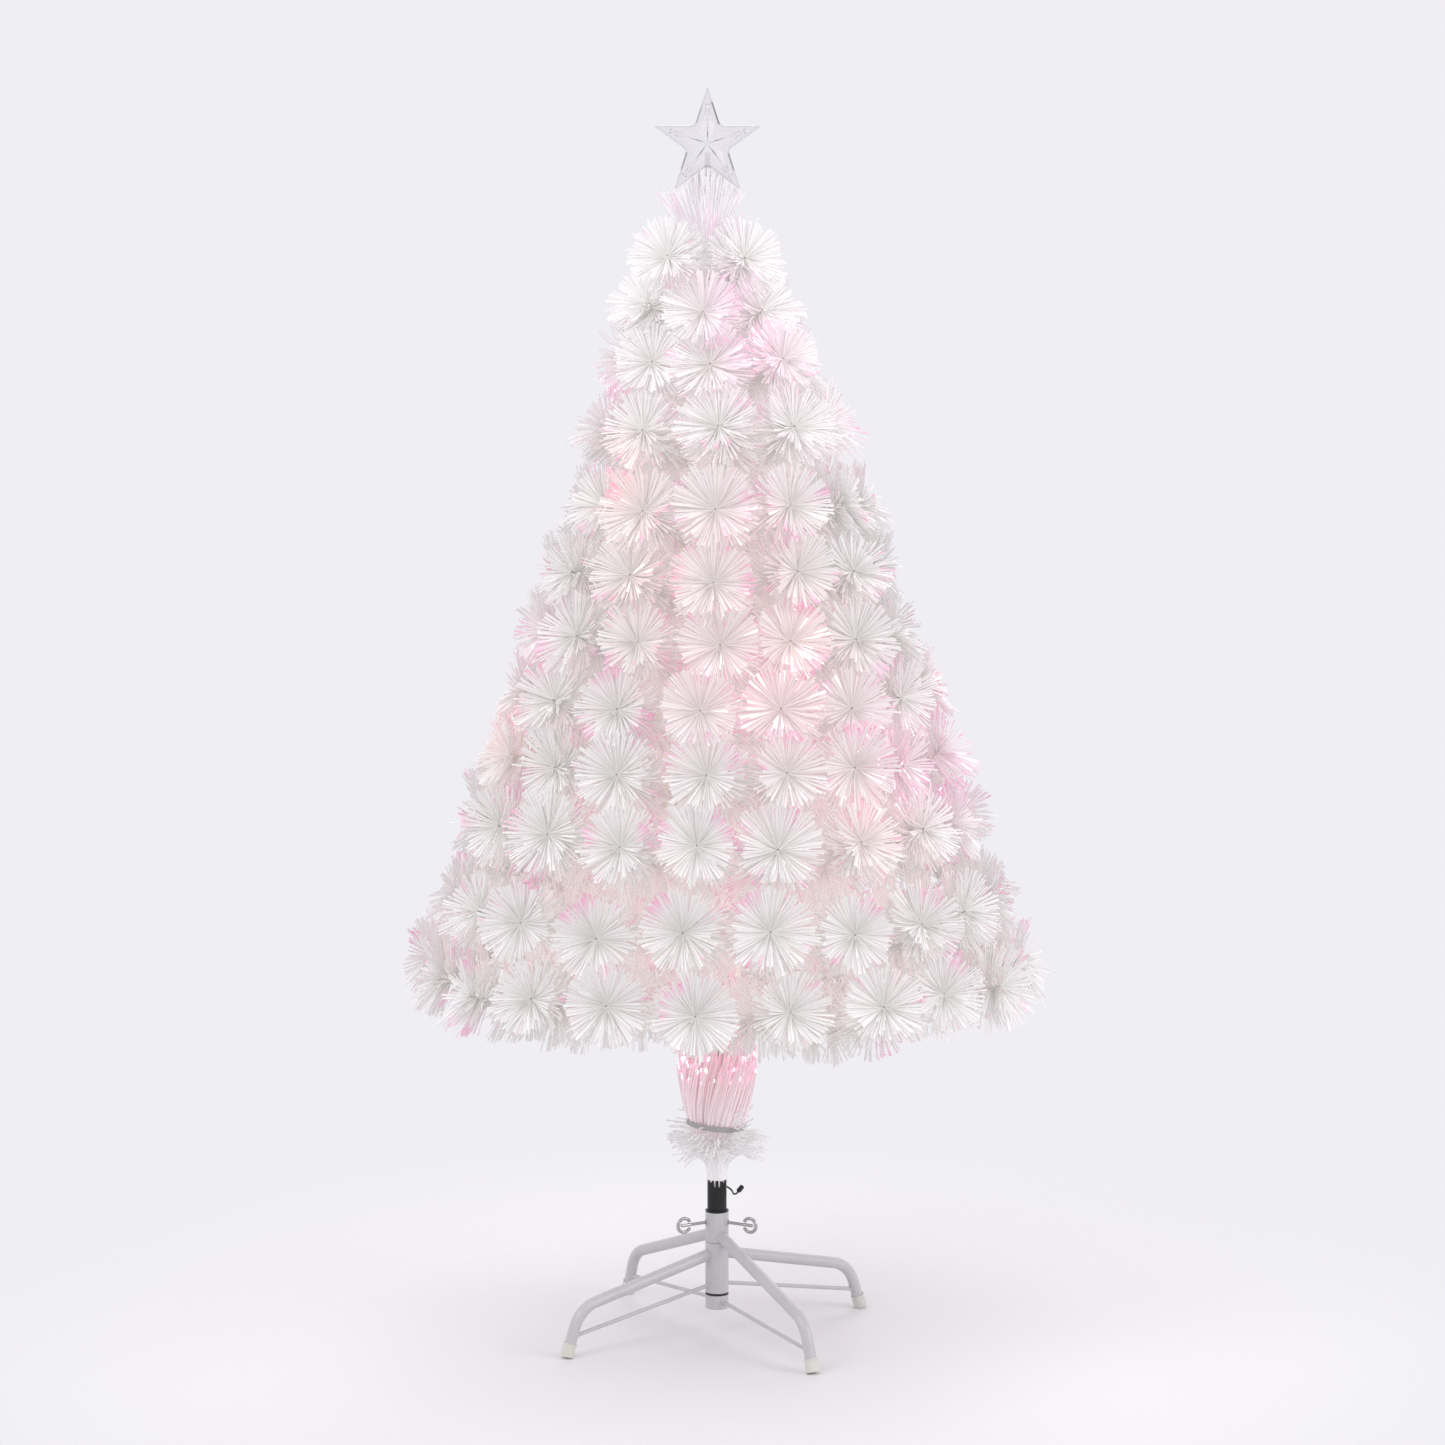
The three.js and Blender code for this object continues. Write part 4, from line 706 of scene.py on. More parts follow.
def fibre_paint(paths, t, depth, sides, lit, hot, shine, uneven):
    """Tint and glow of fibres at the shares t of their length. Roots are a little darker, a painted
    shade; deeper fibres take a warmer colour, a painted interior shade; high ones are whiter, a
    painted top light. The base glow of all fibres is painted fill light for light scattered through
    them. A lit patch colours what lies in it, and the last stretch of a lit fibre is pink and of a
    hot one white. Shine, a painted highlight, is added towards the tip, and uneven is the least
    random share of the tint."""
    n, steps = paths.shape[:2]
    patch, warm = (part.reshape(n, steps, 1) for part in lit_by_patch(paths.reshape(-1, 3)))
    colour = PINK + (SALMON - PINK) * warm
    inner, t = depth[:, None, None], np.asarray(t)[None, :, None]
    # Painted top light: the higher the fibre's root, the whiter its tint.
    high = np.interp(paths[:, 0, 2], [950, 1230], [0, 1])[:, None, None]
    outer_tint, inner_shade_tint = WHITE + (WHITE_TOP_LIGHT - WHITE) * high, INNER_SHADE + (INNER_SHADE_TOP_LIGHT - INNER_SHADE) * high
    tint = (outer_tint + (inner_shade_tint - outer_tint) * inner) * rng.uniform(uneven, 1.0, (n, 1, 1))
    # Painted shade: roots darker, deep in each fan.
    tint = tint * (1 - np.interp(t, [0, 0.6], [1, 0]) * ROOT_PAINTED_SHADE)
    tint = tint * (1 - patch * PATCH_TINT * (1 - colour))
    tip = np.interp(t, [0.75, 0.9], [0, 1]) * lit[:, None, None]
    tint = tint * (1 - 0.9 * tip * (1 - BRIGHT_END))
    # Painted fill glow, for light scattered through the fibres, stronger deep in the tree.
    glow = (1 - inner) * WHITE_FILL_GLOW + INNER_FILL_GLOW * inner * (inner_shade_tint / inner_shade_tint[..., :1])
    glow = glow * (1 - 0.85 * tip) + patch * colour * PATCH_GLOW + TIP_GLOW * tip * BRIGHT_END
    # Painted highlight, growing towards the tip.
    glow = glow + shine[:, None, None] * t
    glow = glow + HOT_GLOW * hot[:, None, None] * np.clip(t * 4 - 2.6, 0, 1)
    return {"tint": per_corner(tint, n, steps, sides), "glow": per_corner(glow, n, steps, sides)}


FACE_FIBRES, GLINT_FIBRES, TUFTS, TUFT_FIBRES = ((240, 14, 44, 10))
FACE_CLUMPS, FIBRE_LENGTH = 28, 52.0
FACE_STEPS, SPRAY_STEPS = np.array([0.0, 0.6, 0.82, 1.0]), np.array([0.0, 0.8, 1.0])
# Degrees between a fibre and the wire in the front fan, the rear fan and the tufts
FRONT_LEAN, REAR_LEAN, TUFT_LEAN = 65, 77, 78


def around(axis, side, up, lean, turn):
    """Unit directions cos lean axis + sin lean (cos turn side + sin turn up)."""
    radial = np.cos(turn)[..., None] * side + np.sin(turn)[..., None] * up
    return np.cos(lean)[..., None] * axis + np.sin(lean)[..., None] * radial


def spray(root, way, length, steps):
    """Paths root + step length way."""
    return root[:, None] + (steps * length[:, None])[..., None] * way


def face_fibres(axis, side, up, tip, size):
    """Dished fan at the end of a branch, with a flatter and wider one behind it. Fibres start
    evenly round the wire and draw towards the middle of their clump, turn + (0.08 to 0.42) pull
    t^2.5, and each clump has its own lean and length. A few fibres are longer, and some of the
    lower half get a painted highlight. Gives paths, depth, which sets the painted interior shade,
    and shine, the painted highlight."""
    n = FACE_FIBRES
    rear = np.arange(n) % 5 > 2
    turn = 2 * np.pi * (np.arange(n) + rng.uniform(-0.5, 0.5, n)) / n
    middles = np.arange(FACE_CLUMPS) + rng.uniform(-0.5, 0.5, FACE_CLUMPS)
    pulls = (2 * np.pi * middles / FACE_CLUMPS - turn[:, None] + np.pi) % (2 * np.pi) - np.pi
    clump = np.abs(pulls).argmin(1)
    pull = pulls[np.arange(n), clump] * rng.uniform(0.08, 0.42, FACE_CLUMPS)[clump]
    lean = np.where(rear, REAR_LEAN, FRONT_LEAN) + rng.normal(0, 4, FACE_CLUMPS)[clump]
    lean = np.radians(lean + rng.normal(0, 1.8, n))[:, None]
    length = size * rng.normal(1.0, 0.06, FACE_CLUMPS)[clump] * rng.uniform(0.95, 1.01, n)
    length = length * np.where(rng.random(n) < 0.03, 1.1, 1.0)
    way = around(axis, side, up, lean, turn[:, None] + pull[:, None] * FACE_STEPS ** 2.5)
    root = tip + axis * (rng.uniform(-5, 3, n) - 11 * rear)[:, None]
    root = root + 0.9 * around(axis, side, up, lean[:, 0], turn)
    # Painted highlight on some fibres of the fan's lower half.
    shine = 0.17 * (rng.random(n) < 0.3) * np.clip(0.4 - np.sin(turn), 0, 1) * ~rear
    # The rear fan takes a quarter of the depth, which sets the painted interior shade.
    return spray(root, way, length, FACE_STEPS), 0.25 * rear, shine


def glint_fibres(axis, side, up, tip):
    """A few loose fibres that point ahead, mostly from the lower half of the fan, later made bright
    by a painted highlight.
    """
    n = GLINT_FIBRES
    lean = np.radians(rng.uniform(48, 66, n))
    way = around(axis, side, up, lean, rng.normal(-np.pi / 2, 0.8, n))
    root = tip + way * rng.uniform(2, 12, n)[:, None]
    return spray(root, way[:, None], FIBRE_LENGTH * rng.uniform(0.4, 0.8, n), SPRAY_STEPS)


def wire_at(ends, s):
    """Points (1 - s)^2 root + 2 s (1 - s) knee + s^2 tip of a branch wire, and its directions."""
    root, knee, tip = ends
    s = np.asarray(s)[:, None]
    return ((1 - s) ** 2 * root + 2 * s * (1 - s) * knee + s ** 2 * tip,
            unit((1 - s) * (knee - root) + s * (tip - knee)))


def tuft_fibres(ends, reach):
    """Brush along the wire, in tufts: each has a place on the wire, a turn and a lean, and its
    fibres fan out from one spot across the wire. Gives paths and depth."""
    back = 6 + (reach * 0.84 - 6) * rng.random(TUFTS) ** 1.2
    middle = 2.4 * np.arange(TUFTS) + rng.uniform(-0.5, 0.5, TUFTS)
    tuft = np.repeat(np.arange(TUFTS), TUFT_FIBRES)
    n = len(tuft)
    place = back[tuft] + rng.uniform(-3, 3, n)
    root, axis = wire_at(ends, 1 - place / reach)
    side = unit(np.cross([0.0, 0.0, 1.0], axis))
    lean = np.radians(TUFT_LEAN + rng.normal(0, 6, TUFTS)[tuft] + rng.normal(0, 3, n))
    turn = middle[tuft] + rng.uniform(-0.36, 0.36, n)
    way = around(axis, side, np.cross(axis, side), lean, turn)
    far = FIBRE_LENGTH * rng.normal(0.93, 0.05, TUFTS)[tuft] * rng.uniform(0.94, 1.02, n)
    paths = spray(root, way[:, None], far, SPRAY_STEPS)
    # Depth sets the painted interior shade, with less of it near the bottom of the tree.
    low = np.interp(paths[:, -1, 2], [390, 470], [0.3, 1])
    return paths, np.clip((place - 14) / 96.0, 0, 1) * low


def lit_share(tips):
    """Share of pink ends: high where sin(x / 13 + ..) + sin(y / 15 + ..) + sin(z / 14 + ..) passes
    1.35, which gives spots a few centimetres wide, fewer near the top, and more in lit patches."""
    x, y, z = tips.T
    wave = (np.sin(x / 13 + 1.3 * np.sin(z / 17)) + np.sin(y / 15 + 1.1 * np.sin(x / 19) + 2)
            + np.sin(z / 14 + 1.2 * np.sin(y / 16) + 4))
    spots = np.clip((wave - 1.35) / 0.5, 0, 1) * np.interp(z, [1150, 1280], [0.75, 0.2])
    return 0.015 + spots + 0.3 * lit_by_patch(tips)[0]


def strips(paths, steps, depth, radius, tip, flat, shine, facing=None, heat=0.08, uneven=0.94):
    """Fibres of one kind with their paint, and a shine, a painted highlight, that grows towards
    their ends. The unlit ones skip the ring where a pink end would begin. Heat is the share of
    white hot ends in the lit patches, and hot fibres are thicker."""
    n, last = len(paths), len(steps) - 1
    depth, shine = np.broadcast_to(depth, n), np.broadcast_to(shine, n)
    ends = paths[:, -1]
    lit = (rng.random(n) < lit_share(ends)) * rng.uniform(0.5, 1.0, n)
    hot = 1.0 * (rng.random(n) < heat * np.clip((lit_by_patch(ends)[0] - 0.3) / 0.3, 0, 1))
    bright, rings = lit + hot > 0, np.arange(last + 1)
    sets = []
    for pick, keep in ((~bright, rings[rings != last - 1]), (bright, rings)):
        kept = paths[pick][:, keep]
        look = None if facing is None else facing[pick, None]
        thick = radius * rng.normal(1, 0.12, pick.sum()).clip(0.7, 1.35) * (1 + 0.6 * hot[pick])
        sets.append((rods(kept, thick, 3, tip, flat, look),
                     fibre_paint(kept, steps[keep], depth[pick], 3, lit[pick], hot[pick],
                                 shine[pick], uneven)))
    return all_of(sets)


def all_of(sets):
    """Several (shell, paint) pairs as one."""
    return (together([shell for shell, _ in sets]),
            {key: np.vstack([paint[key] for _, paint in sets]) for key in ("tint", "glow")})


def wire_core(wires):
    """Pale core of a branch, where the fibre roots wrap the wire: a rod of radius 1.7 along it."""
    # Tinted with the painted interior shade colour, and its glow is painted fill light.
    tint = per_corner(0.8 * INNER_SHADE, len(wires), 6, 5)
    return rods(wires[:, :6], 1.7, 5, 0.7), {"tint": tint, "glow": 0.2 * tint}


def branch(azimuth, tier):
    """One branch: paths, depth, shine and axis of its fan, its glints, paths and depth of its
    tufts, and its wire, which bends at a knee and passes 5 mm through the fan."""
    share, rise, tip_reach, tip_z, root_z = tier_place(tier)
    inward, aside = FAN_SHIFTS[tier]
    a = math.radians(azimuth + rng.normal(0, 1.3))
    reach = tip_reach - inward + rng.normal(0, 5.0)
    root = polar(ROOT_REACH, a, root_z)
    tip = polar(reach, a, tip_z + rng.normal(0, 4.0)) + [aside, 0, 0]
    tilt = rise + math.radians(10 * (1 - share) + rng.normal(0, 10))
    yaw = a + math.radians(rng.normal(0, 12))
    axis = polar(math.cos(tilt), yaw, math.sin(tilt))
    side = np.array([-math.sin(yaw), math.cos(yaw), 0.0])
    up = np.cross(axis, side)
    length = float(np.linalg.norm(tip - root))
    ends = root, tip - axis * 0.35 * length, tip
    fan = face_fibres(axis, side, up, tip, FIBRE_LENGTH * rng.uniform(0.88, 1.03))
    glints = glint_fibres(axis, side, up, tip)
    tufts = tuft_fibres(ends, length)
    marks = np.append(np.linspace(0, 0.9, 5), [1 - 3.0 / length, 1 + 5.0 / length])
    axes = np.repeat(axis[None], FACE_FIBRES, 0)
    return *fan, axes, glints, *tufts, wire_at(ends, marks)[0][None]


def make_tier(tier):
    """All fibres, wires and the wrapped trunk of one tier. The fans are shaded flat, and the rest
    smooth."""
    turns = 360.0 * (np.arange(TIER_COUNTS[tier]) + TIER_TURNS[tier]) / TIER_COUNTS[tier]
    kinds = [np.concatenate(kind) for kind in zip(*[branch(turn, tier) for turn in turns])]
    faces, layers, shines, axes, glints, tufts, depths, wires = kinds
    faces, glints, tufts, wires = (leaned(paths) for paths in (faces, glints, tufts, wires))
    # Shine is painted light: a highlight on the lower fans and on the glints, and a faint fill on
    # the tufts.
    sets = [strips(faces, FACE_STEPS, layers, 0.45, 2.4, 0.45, shines, axes),
            strips(glints, SPRAY_STEPS, 0.0, 0.5, 1.8, 0.6, 0.3, heat=0.85),
            strips(tufts, SPRAY_STEPS, depths, 0.72, 1.4, 0.5, 0.07, uneven=0.9),
            wire_core(wires)]
    shell, paint = all_of(sets)
    smooth = np.concatenate([np.full(len(part[face]), k != 0)
                             for face in (1, 2) for k, (part, _) in enumerate(sets)])
    name = "tier_%02d" % (tier + 1)
    piece(name + "_fibres", shell, "drawn_fibre", "tree", ["branch_" + name], "clear_fibre",
          sharp=0, paint=paint, smooth=smooth)
    piece(name + "_wires", rods(wires[:, 5:], 1.3, 6, 0.85), "branch_wire", "tree", (),
          "trunk_steel")
    share, root_z = tier_place(tier)[0], tier_place(tier)[-1]
    top = tier_place(tier + 1)[-1] - 12.3 if tier < len(TIER_TIPS) - 1 else root_z + 12
    piece(name + "_wrap", wrap_shell(30 - 21 * share, root_z - 12, top), "wrap_tape", "tree", (),
          "clear_fibre")


def wrap_shell(radius, low, high):
    """Wrapped trunk: radius (0.93 + 0.05 cos(14 a + z / 6)) (1 - 0.15 |share of height - 0.5|)
    round the bore of the rod between two heights, leaning with the trunk."""
    a = circle(84)[None, :]
    z = np.linspace(low, high, 24)[:, None]
    bulge = 1 - 0.15 * np.abs((z - low) / (high - low) - 0.5)
    outer = polar(radius * (0.93 + 0.05 * np.cos(14 * a + z / 6)) * bulge, a, z)
    return skin(leaned(np.vstack([outer, polar(ROD_BORE + 0 * z, a, z[::-1])])), loop=True)


for tier in range(len(TIER_TIPS)):
    make_tier(tier)


# ---------------------------------------------------------------- bundle, brush and tie

BUNDLE_BOTTOM, BRUSH_BOTTOM = 189.6, 191.6


def bundle_radius(z):
    """Reach of the bundle: 7 + 42 (1 - (1 - s)^2.2), with s from 0 at 203 to 1 at 360."""
    s = np.clip((z - 203.0) / 157.0, 0, 1)
    return 7.0 + 42.0 * (1 - (1 - s) ** 2.2)


def make_bundle():
    """Fibres that run up inside the flare with a slow twist, each at its own share of the bundle's
    radius, shorter ones round the outside whose cut ends glow, and some that stand close round the
    trunk rod."""
    n = 560
    short = rng.random(n) < 0.6
    share = np.where(short, rng.uniform(0.86, 1.01, n), np.sqrt(rng.uniform(0.1, 0.86, n)))
    azimuth = rng.uniform(0, 2 * np.pi, n)
    twist = rng.normal(0.6, 0.1, n)
    top = np.where(short, rng.uniform(318, 356, n), rng.uniform(372, 396, n))
    t = np.append(np.linspace(0, 0.965, 8), [0.975, 1.0])[None, :]
    z = BUNDLE_BOTTOM + (top[:, None] - BUNDLE_BOTTOM) * t
    core = ~short & (np.arange(n) % 4 == 0)
    azimuth = np.where(core, 2.4 * np.cumsum(core), azimuth)
    a = azimuth[:, None] + twist[:, None] * np.clip((z - 240.0) / 110.0, 0, 1.3)
    r = bundle_radius(z) * np.where(core, 0.13 + 0.06 * share, share)[:, None]
    r = np.where(core[:, None], np.maximum(r, 5.6), r)
    tone = rng.uniform(0.86, 1.0, (n, 1, 1))
    level = np.clip((z - 225) / 110, 0, 1)[..., None]
    tint = np.array([0.96, 0.92, 0.93]) * tone * (1 - level * (1 - np.array([0.97, 0.85, 0.89])))
    glow = np.array([0.09, 0.082, 0.084]) + level * np.array([0.1, 0.035, 0.05]) * tone
    end = (t > 0.972)[..., None] * short[:, None, None]
    pink = end * np.array([0.9, 0.4, 0.6]) * rng.uniform(0.1, 0.6, (n, 1, 1))
    spark = end * (rng.random(n) < 0.26)[:, None, None] * 0.9
    fibre_piece("bundle_fibres", polar(r, a, z), rng.uniform(0.65, 1.05, n), 5, 1.0,
                tint * (1 - 0.3 * end * np.array([0.0, 1.0, 0.6])), glow + pink + spark,
                ["fibre_bundle"], "lit_fibre")


def make_brush():
    """White fibres from the pole's mouth: radius root + (reach - root) t^2.1 and height
    root + rise (1 - (1 - t)^1.8), so each starts upright and ends level. They cling in tufts that
    share a turn, a reach and a height, some at the right and the back stand upright, and some droop
    at the end."""
    n, tufts = 400, 70
    tuft = np.arange(n) % tufts
    turn = 2 * np.pi * (np.arange(tufts) * 0.618) + rng.normal(0, 0.06, tufts)
    azimuth = turn[tuft] + rng.normal(0, 0.1, n)
    level = rng.random(tufts)[tuft]
    root = rng.uniform(7.6, 11.3, n)
    right, behind = np.cos(turn[tuft] + math.radians(5)) > 0.35, np.sin(turn[tuft]) > 0.3
    upright = (level > 0.5) & (right | behind)
    share, loose = rng.random(tufts)[tuft], 3.5 * rng.normal(0, 1, (2, n))
    reach = np.where(upright, 38 + 12 * share, 46 + 16 * share) + loose[0]
    tip = np.where(upright, 264 + 22 * share, 230 + 32 * rng.random(tufts)[tuft]) + loose[1]
    t = np.append(0, np.linspace(0, 1, 8))[None, :]
    out = root[:, None] + (reach - root)[:, None] * t ** 2.1
    out[:, 0] *= 0.86
    rise = 1 - (1 - t) ** 1.8
    rise = np.where(upright[:, None], 0.55 * t + 0.45 * rise, rise)
    z = BRUSH_BOTTOM + (tip - BRUSH_BOTTOM)[:, None] * rise
    z = z - (12 * (rng.random(tufts) < 0.3)[tuft] + 3.0)[:, None] * t ** 5
    z[:, 0] -= 9
    a = azimuth[:, None] + rng.normal(0, 0.04, n)[:, None] * t ** 2
    tint = np.array([0.95, 0.94, 0.95]) * rng.uniform(0.88, 1.0, (n, 1, 1))
    # Its white glow is painted fill light, for light scattered through the fibres.
    fibre_piece("brush_fibres", polar(out, a, z), rng.uniform(0.8, 1.15, n), 4, 0.85, tint,
                np.array([0.12, 0.118, 0.12]), ["base_brush"])


def make_tie():
    """Grey strap round the bundle, level across and tilted sideways, with a rounded section."""
    r = float(bundle_radius(262.5)) + 0.6
    strap = turned(eased([[r, -3.2], [r + 1.5, -3.2], [r + 1.5, 3.2], [r, 3.2]], 0.6))
    strap = spun(tilted(strap, math.radians(6.5)), 0, (-0.8, 0, 260))
    piece("tie_strap", strap, "grey_tie", "tree", ["bundle_tie"])


make_bundle()
make_brush()
make_tie()


# ---------------------------------------------------------------- plume and star

# Tufts of the plume: count, azimuth, tilt and spread in degrees, least and greatest length, and
# share of pink ends
PLUME_TUFTS = (
    (90, 0, 10, 7, 88, 118, 0.0), (70, 180, 8, 6, 84, 116, 0.05), (60, -90, 6, 5, 80, 112, 0.03),
    (70, 90, 9, 5, 84, 118, 0.0), (80, 190, 24, 7, 92, 108, 0.12), (70, -15, 17, 6, 88, 106, 0.03),
    (50, 186, 46, 9, 62, 76, 0.25), (36, -4, 38, 7, 62, 72, 0.6), (40, -90, 26, 8, 60, 90, 0.15),
    (45, 80, 20, 8, 80, 100, 0.1), (40, 120, 40, 9, 62, 78, 0.25), (35, 50, 36, 8, 62, 80, 0.2),
)


def make_plume():
    """Fibres from the top of the trunk in tufts. Each leans out by its own tilt T: its height is
    L cos T t and its distance from the trunk grows by L sin T t^1.3. They end below the slanted
    lower edges of the star, 1408 - 0.74 |x| but at least 1380, or below 1409 behind it."""
    counts = [tuft[0] for tuft in PLUME_TUFTS]
    columns = (np.repeat(values, counts) for values in zip(*PLUME_TUFTS))
    _, azimuth, tilt, spread, short, far, share = columns
    n = sum(counts)
    azimuth = np.radians(azimuth + rng.normal(0, 1, n) * np.where(tilt < 12, 45, 16))
    tilt = np.radians(tilt + rng.normal(0, 1, n) * spread * 0.6)
    length = rng.uniform(short, far)
    turn = azimuth + rng.normal(0, 0.7, n)
    root = rng.uniform(5.6, 8.5, n)[:, None]
    t = np.append(np.linspace(0, 0.8, 5), [0.83, 1.0])[None, :]
    out = (length * np.sin(tilt))[:, None] * t ** 1.3
    x, y = (root * wave(turn)[:, None] + out * wave(azimuth)[:, None] for wave in (np.cos, np.sin))
    z = rng.uniform(1279, 1296, n)[:, None] + (length * np.cos(tilt))[:, None] * t
    roof = np.where(y[:, -1] > 13, 1409.0, 1408.0 - 0.74 * np.abs(x[:, -1])).clip(1380)
    over = np.clip((z[:, -1] - z[:, 0]) / np.maximum(roof - z[:, 0], 1.0), 1.0, None)
    z = z[:, :1] + (z - z[:, :1]) / over[:, None]
    pink = (rng.random(n) < share)[:, None, None] * np.clip((t - 0.4) / 0.3, 0, 1)[..., None]
    tint = np.array([0.9, 0.87, 0.9]) * rng.uniform(0.88, 1.0, (n, 1, 1))
    tint = tint * (1 - 0.55 * pink * (1 - np.array([1.0, 0.5, 0.8])))
    # The white part of the glow is painted fill light, for light scattered through the fibres; the
    # pink ends glow with the tree's own light.
    glow = np.array([0.19, 0.18, 0.19]) + pink * np.array([0.08, 0.02, 0.06])
    fibre_piece("plume_fibres", leaned(np.stack([x, y, z], -1)), rng.uniform(0.5, 0.78, n), 4, 0.9,
                tint, glow, ["top_plume"])


PER_EDGE, PER_POINT = 28, 56   # steps along one edge of the star, and from point to point


def star_outline(soft=3):
    """Star outline of radius 1 as points round it: straight edges between ten corners of radius 1
    and 0.382, then averaged over a few neighbours so that the tips are rounded."""
    turn = math.pi / 2 + np.arange(10) * math.pi / 5
    reach = np.where(np.arange(10) % 2 == 1, 0.382, 1.0)
    corner = np.stack([reach * np.cos(turn), reach * np.sin(turn)], -1)
    t = np.linspace(0, 1, PER_EDGE, endpoint=False)[None, :, None]
    edge = (corner[:, None] * (1 - t) + np.roll(corner, -1, 0)[:, None] * t).reshape(-1, 2)
    wide = np.stack([np.roll(edge, k, 0) for k in range(-soft, soft + 1)]).mean(0)
    return wide * (1.0 / np.linalg.norm(wide, axis=1).max())


# Stretches of the star's side wall with a painted dark reflection, in steps round the outline, and
# how dark
WALL_SHADES = ((254, 270, 0.4), (14, 26, 0.7), (86, 98, 0.55), (182, 194, 0.5))
# Rings of a half of the star: scale of the outline and depth. Rows 5 to 9 are the side wall, 9 to
# 11 the rim's edge, 13 and 14 the foot of the raised middle, and from 14 on the middle.
STAR_PAIRS = np.array([
    [0.02, 10.2], [0.3, 7.6], [0.595, 3.9], [0.9, 3.9], [0.93, 3.5], [0.935, 0.2], [0.99, 0.2],
    [1.0, 0.6], [1.0, 4.4], [0.985, 5.15], [0.965, 5.3], [0.94, 5.1], [0.72, 5.1], [0.7, 5.6],
    [0.66, 5.9], [0.62, 6.3], [0.3, 9.4], [0.06, 11.7], [0.02, 12.0]])
SIDE_WALL, RIM_EDGE, MIDDLE_FOOT, MIDDLE = slice(5, 10), slice(9, 12), slice(13, 15), 14


def star_shell(hand):
    """Half of the star: rings of the outline at [scale, depth] pairs, from the inner middle out
    over the flat rim and back over the raised ridged middle. A rib 0.6 exp(-(j / 1.6)^2) high runs
    from the middle to each point, with j the steps from it, and on either side of it lies a groove
    0.3 exp(-((j - 4.5) / 1.6)^2) deep, darkened by a painted shade. The rim's edge and the foot of
    the raised middle have a painted darker outline, and stretches of the side wall a painted dark
    reflection. hand is -1 for the front and 1 for the back."""
    line = star_outline()
    off = np.abs((np.arange(len(line)) + PER_EDGE) % PER_POINT - PER_EDGE)
    scale, depth = STAR_PAIRS[:, 0:1] * STAR_RADIUS, STAR_PAIRS[:, 1:2]
    raised = (np.arange(len(STAR_PAIRS)) >= MIDDLE)[:, None] * 1.0
    rib = raised * (0.6 * np.exp(-(off / 1.6) ** 2) - 0.3 * np.exp(-((off - 4.5) / 1.6) ** 2))
    rows = np.stack([line[None, :, 0] * scale, hand * (depth + rib), line[None, :, 1] * scale], -1)
    # Painted shade along the grooves, on the rim's edge and at the foot of the raised middle.
    shade = 1 - 0.16 * raised * np.exp(-((off - 4.5) / 1.8) ** 2) * (STAR_PAIRS[:, :1] > 0.05)
    shade[RIM_EDGE] -= 0.07
    shade[MIDDLE_FOOT] -= 0.07
    for low, high, value in WALL_SHADES:
        shade[SIDE_WALL, low:high] = value
    return skin(rows, loop=True), shade.ravel()


def star_dots():
    """Two small round dots on the front rim beside each point of the raised middle."""
    profile = 1.15 * np.array([[0.1, -0.8], [0.8, -0.6], [1.0, 0.0], [0.86, 0.5], [0.5, 0.86],
                               [0.1, 1.0]])
    v, q, t = turned(profile, 14, closed=False)
    dots = []
    for turn in math.pi / 2 + np.arange(5) * 2 * math.pi / 5:
        c, s = math.cos(turn), math.sin(turn)
        out, across = np.array([[c, s], [-s, c]])
        for hand in (-1, 1):
            x, z = 0.71 * STAR_RADIUS * out + hand * 1.9 * across
            dots.append((np.stack([v[:, 0] + x, -v[:, 2] - 5.2, v[:, 1] + z], -1), q, t))
    return together(dots)


def make_star():
    """Front and back shells of the star and the stem under it, with a socket for the rod."""
    for hand, side in ((-1, "front"), (1, "back")):
        shell, shade = star_shell(hand)
        if hand < 0:
            dots = star_dots()
            # The dots are a little darker, a painted shade.
            shade = np.concatenate([shade, np.full(len(dots[0]), 0.75)])
            shell = together([shell, dots])
        piece("star_shell_" + side, spun(shell, 0, (STAR_X, 0, STAR_Z)), "clear_star", "star",
              ["star_" + side], "clear_plastic", sharp=25, paint={"shade": shade[:, None]})
    roof = ROD_TOP + 0.3
    profile = [[0.2, roof], [4.3, roof], [4.3, roof - 32], [5.6, roof - 32], [5.6, roof + 2],
               [3.0, roof + 3], [3.0, roof + 42], [0.2, roof + 42]]
    socket = spun(turned(eased(profile, 0.3), 40), 0, (STAR_X, 0, 0))
    # The socket is slightly darkened by a painted shade.
    piece("star_socket", socket, "clear_star", "star", ["star_stem"], "clear_plastic",
          paint={"shade": np.full((len(socket[0]), 1), 0.92)})


make_plume()
make_star()


# ---------------------------------------------------------------- finishes of kept CAD nodes

CAD_FINISHES = {
    "hub_inner_tube": "painted_steel", "light_module": "light_board",
    "bundle_ferrule": "ferrule_plastic", "lead_grommet": "black_plastic",
    "lead_connector": "black_plastic", "trunk_rod": "trunk_steel",
}
for name, look in CAD_FINISHES.items():
    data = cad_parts[name].data
    data.materials.clear()
    data.materials.append(LOOKS[look])


# ---------------------------------------------------------------- floor, backdrop and light

BACKDROP = (0.868, 0.855, 0.896)


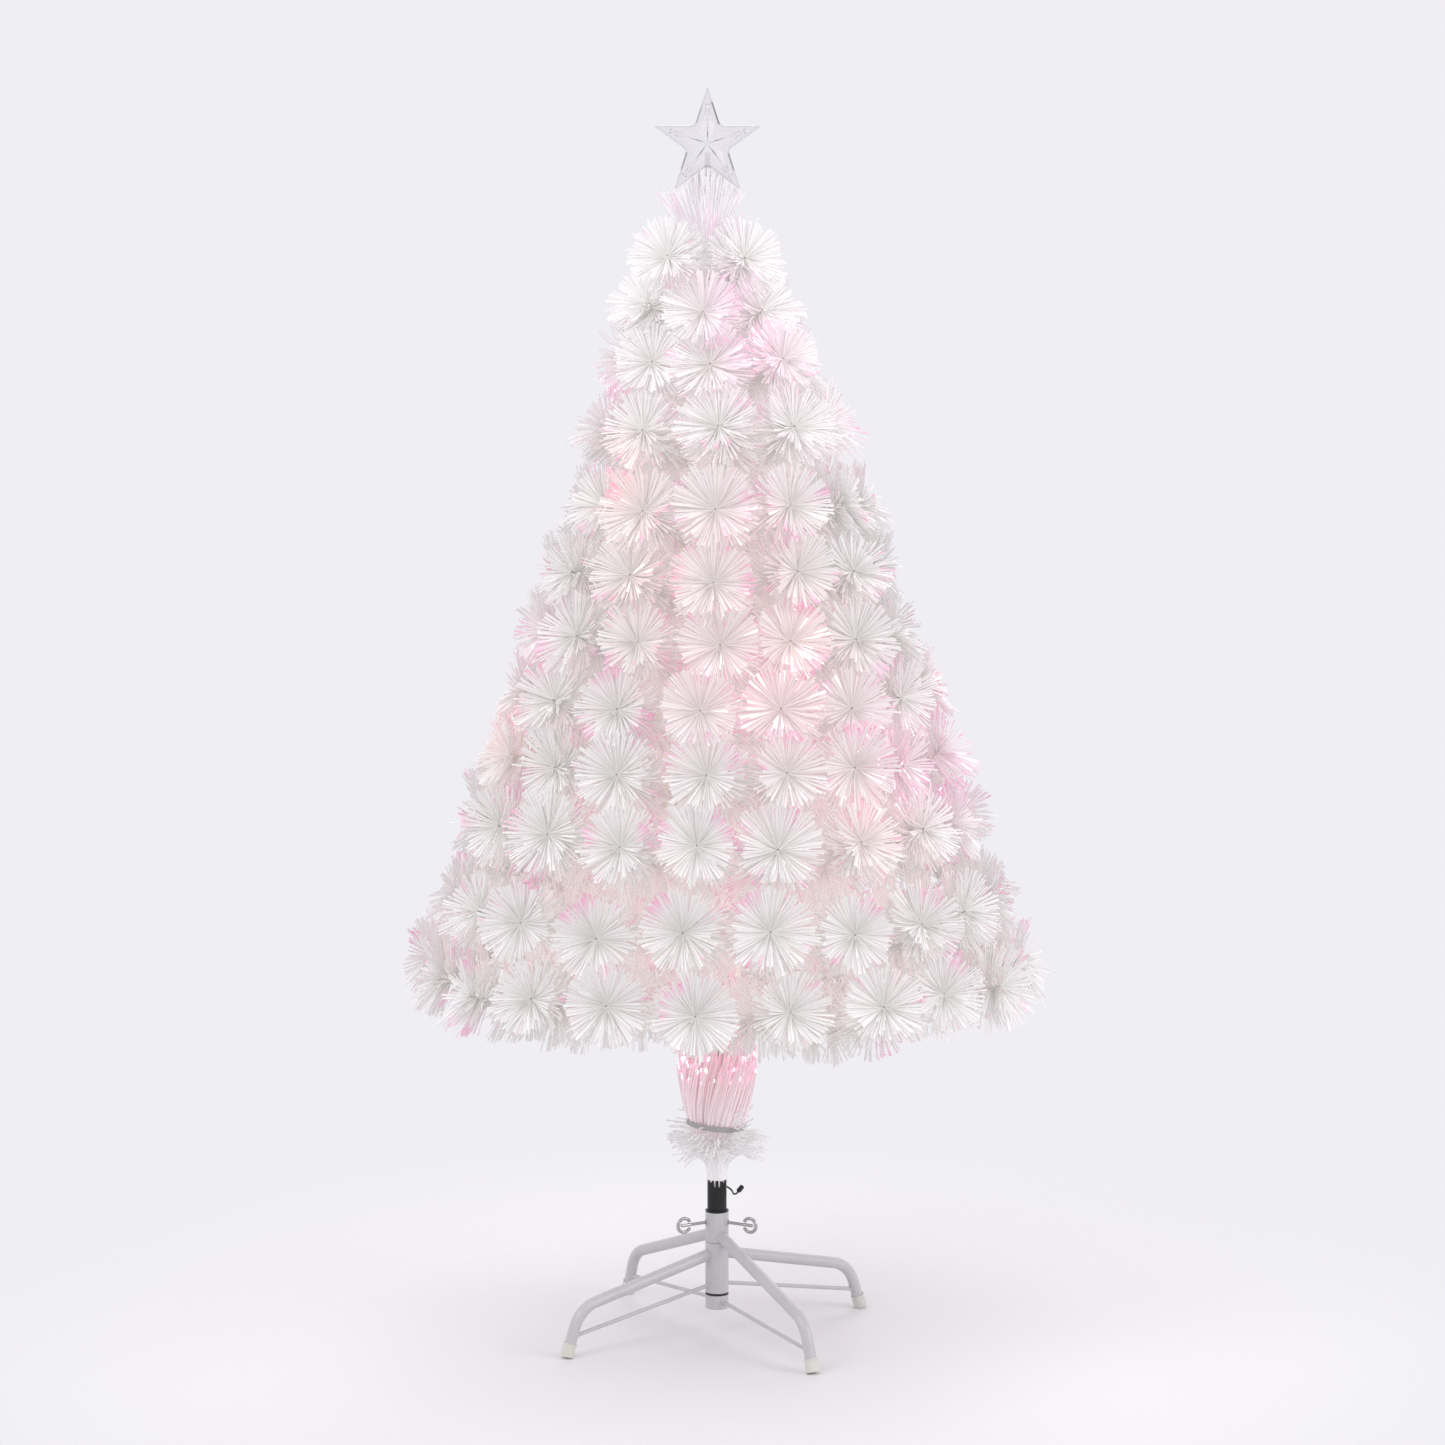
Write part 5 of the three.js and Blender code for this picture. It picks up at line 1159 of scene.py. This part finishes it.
def make_world():
    """Soft white light from all round; camera, mirror and glass rays see the pale backdrop."""
    world = bpy.data.worlds.new("studio")
    world.use_nodes = True
    tree = world.node_tree
    tree.nodes.clear()
    light = node(tree, "Background", in_Color=(1.0, 0.99, 1.0, 1), in_Strength=0.85)
    seen = node(tree, "Background", in_Color=(*BACKDROP, 1), in_Strength=1.0)
    rays = node(tree, "LightPath")
    one = node(tree, "Math", operation="MAXIMUM", in_0=(rays, "Is Camera Ray"),
               in_1=(rays, "Is Glossy Ray"))
    two = node(tree, "Math", operation="MAXIMUM", in_0=(one, 0),
               in_1=(rays, "Is Transmission Ray"))
    mix = node(tree, "MixShader", in_Fac=(two, 0), in_1=(light, 0), in_2=(seen, 0))
    node(tree, "OutputWorld", in_Surface=(mix, 0))
    SCENE.world = world


def make_floor():
    """Round pale floor that keeps the shadow and fades into the backdrop away from the stand. Its
    colour is also darker near the middle, a painted shadow under the tree.
    """
    made, tree, shader = blank("studio_floor", Roughness=0.9, Specular_IOR_Level=0.0)
    place = node(tree, "TexCoord"), "Object"
    far = node(tree, "VectorMath", operation="LENGTH", in_0=place), "Value"
    fade = node(tree, "MapRange", interpolation_type="SMOOTHSTEP", in_Value=far, in_From_Min=0.35,
                in_From_Max=1.1, in_To_Min=0.0, in_To_Max=1.0)
    # Painted shadow: the floor's colour is darker within half a metre of the middle.
    shade = tinted(tree, far, (0.775, 0.762, 0.782), (0.86, 0.85, 0.88), 0.1, 0.5)
    feed(tree, shader, {"Base Color": shade})
    mix = node(tree, "MixShader", in_Fac=(fade, "Result"), in_1=(shader, "BSDF"),
               in_2=(node(tree, "BsdfTransparent"), 0))
    feed(tree, tree.nodes["Material Output"], {"Surface": (mix, 0)})
    r, sides = np.array([[100.0], [500.0], [1000.0], [2000.0]]), 64
    rows = polar(r, circle(sides)[None, :], -0.2 + 0 * r)
    mesh = bpy.data.meshes.new("studio_floor")
    mesh.from_pydata((rows.reshape(-1, 3) * MM).tolist(), [],
                     skin(rows)[1].tolist() + [list(range(sides))])
    mesh.materials.append(made)
    floor = placed("studio_floor", mesh)


def lamp(name, place, aim, size, power):
    """Square area lamp at a place, turned to its aim, and not seen through clear plastic."""
    data = bpy.data.lights.new(name, "AREA")
    data.size, data.energy = size, power
    made = placed(name, data)
    made.location = place
    made.visible_transmission = False
    way = np.array(aim, float) - np.array(place, float)
    flat = math.hypot(way[0], way[1])
    heading = math.atan2(way[1], way[0]) - math.pi / 2
    made.rotation_euler = (math.atan2(flat, -way[2]), 0, heading)


make_world()
make_floor()
lamp("key_lamp", (-2.8, -2.5, 3.6), (0, 0, 0.8), 2.2, 46.0)
lamp("fill_lamp", (3.3, -1.6, 2.0), (0, 0, 0.8), 2.0, 37.0)
lamp("back_lamp", (0.6, 3.2, 3.2), (0, 0, 0.9), 2.0, 26.0)

SCENE.view_settings.view_transform = "Standard"
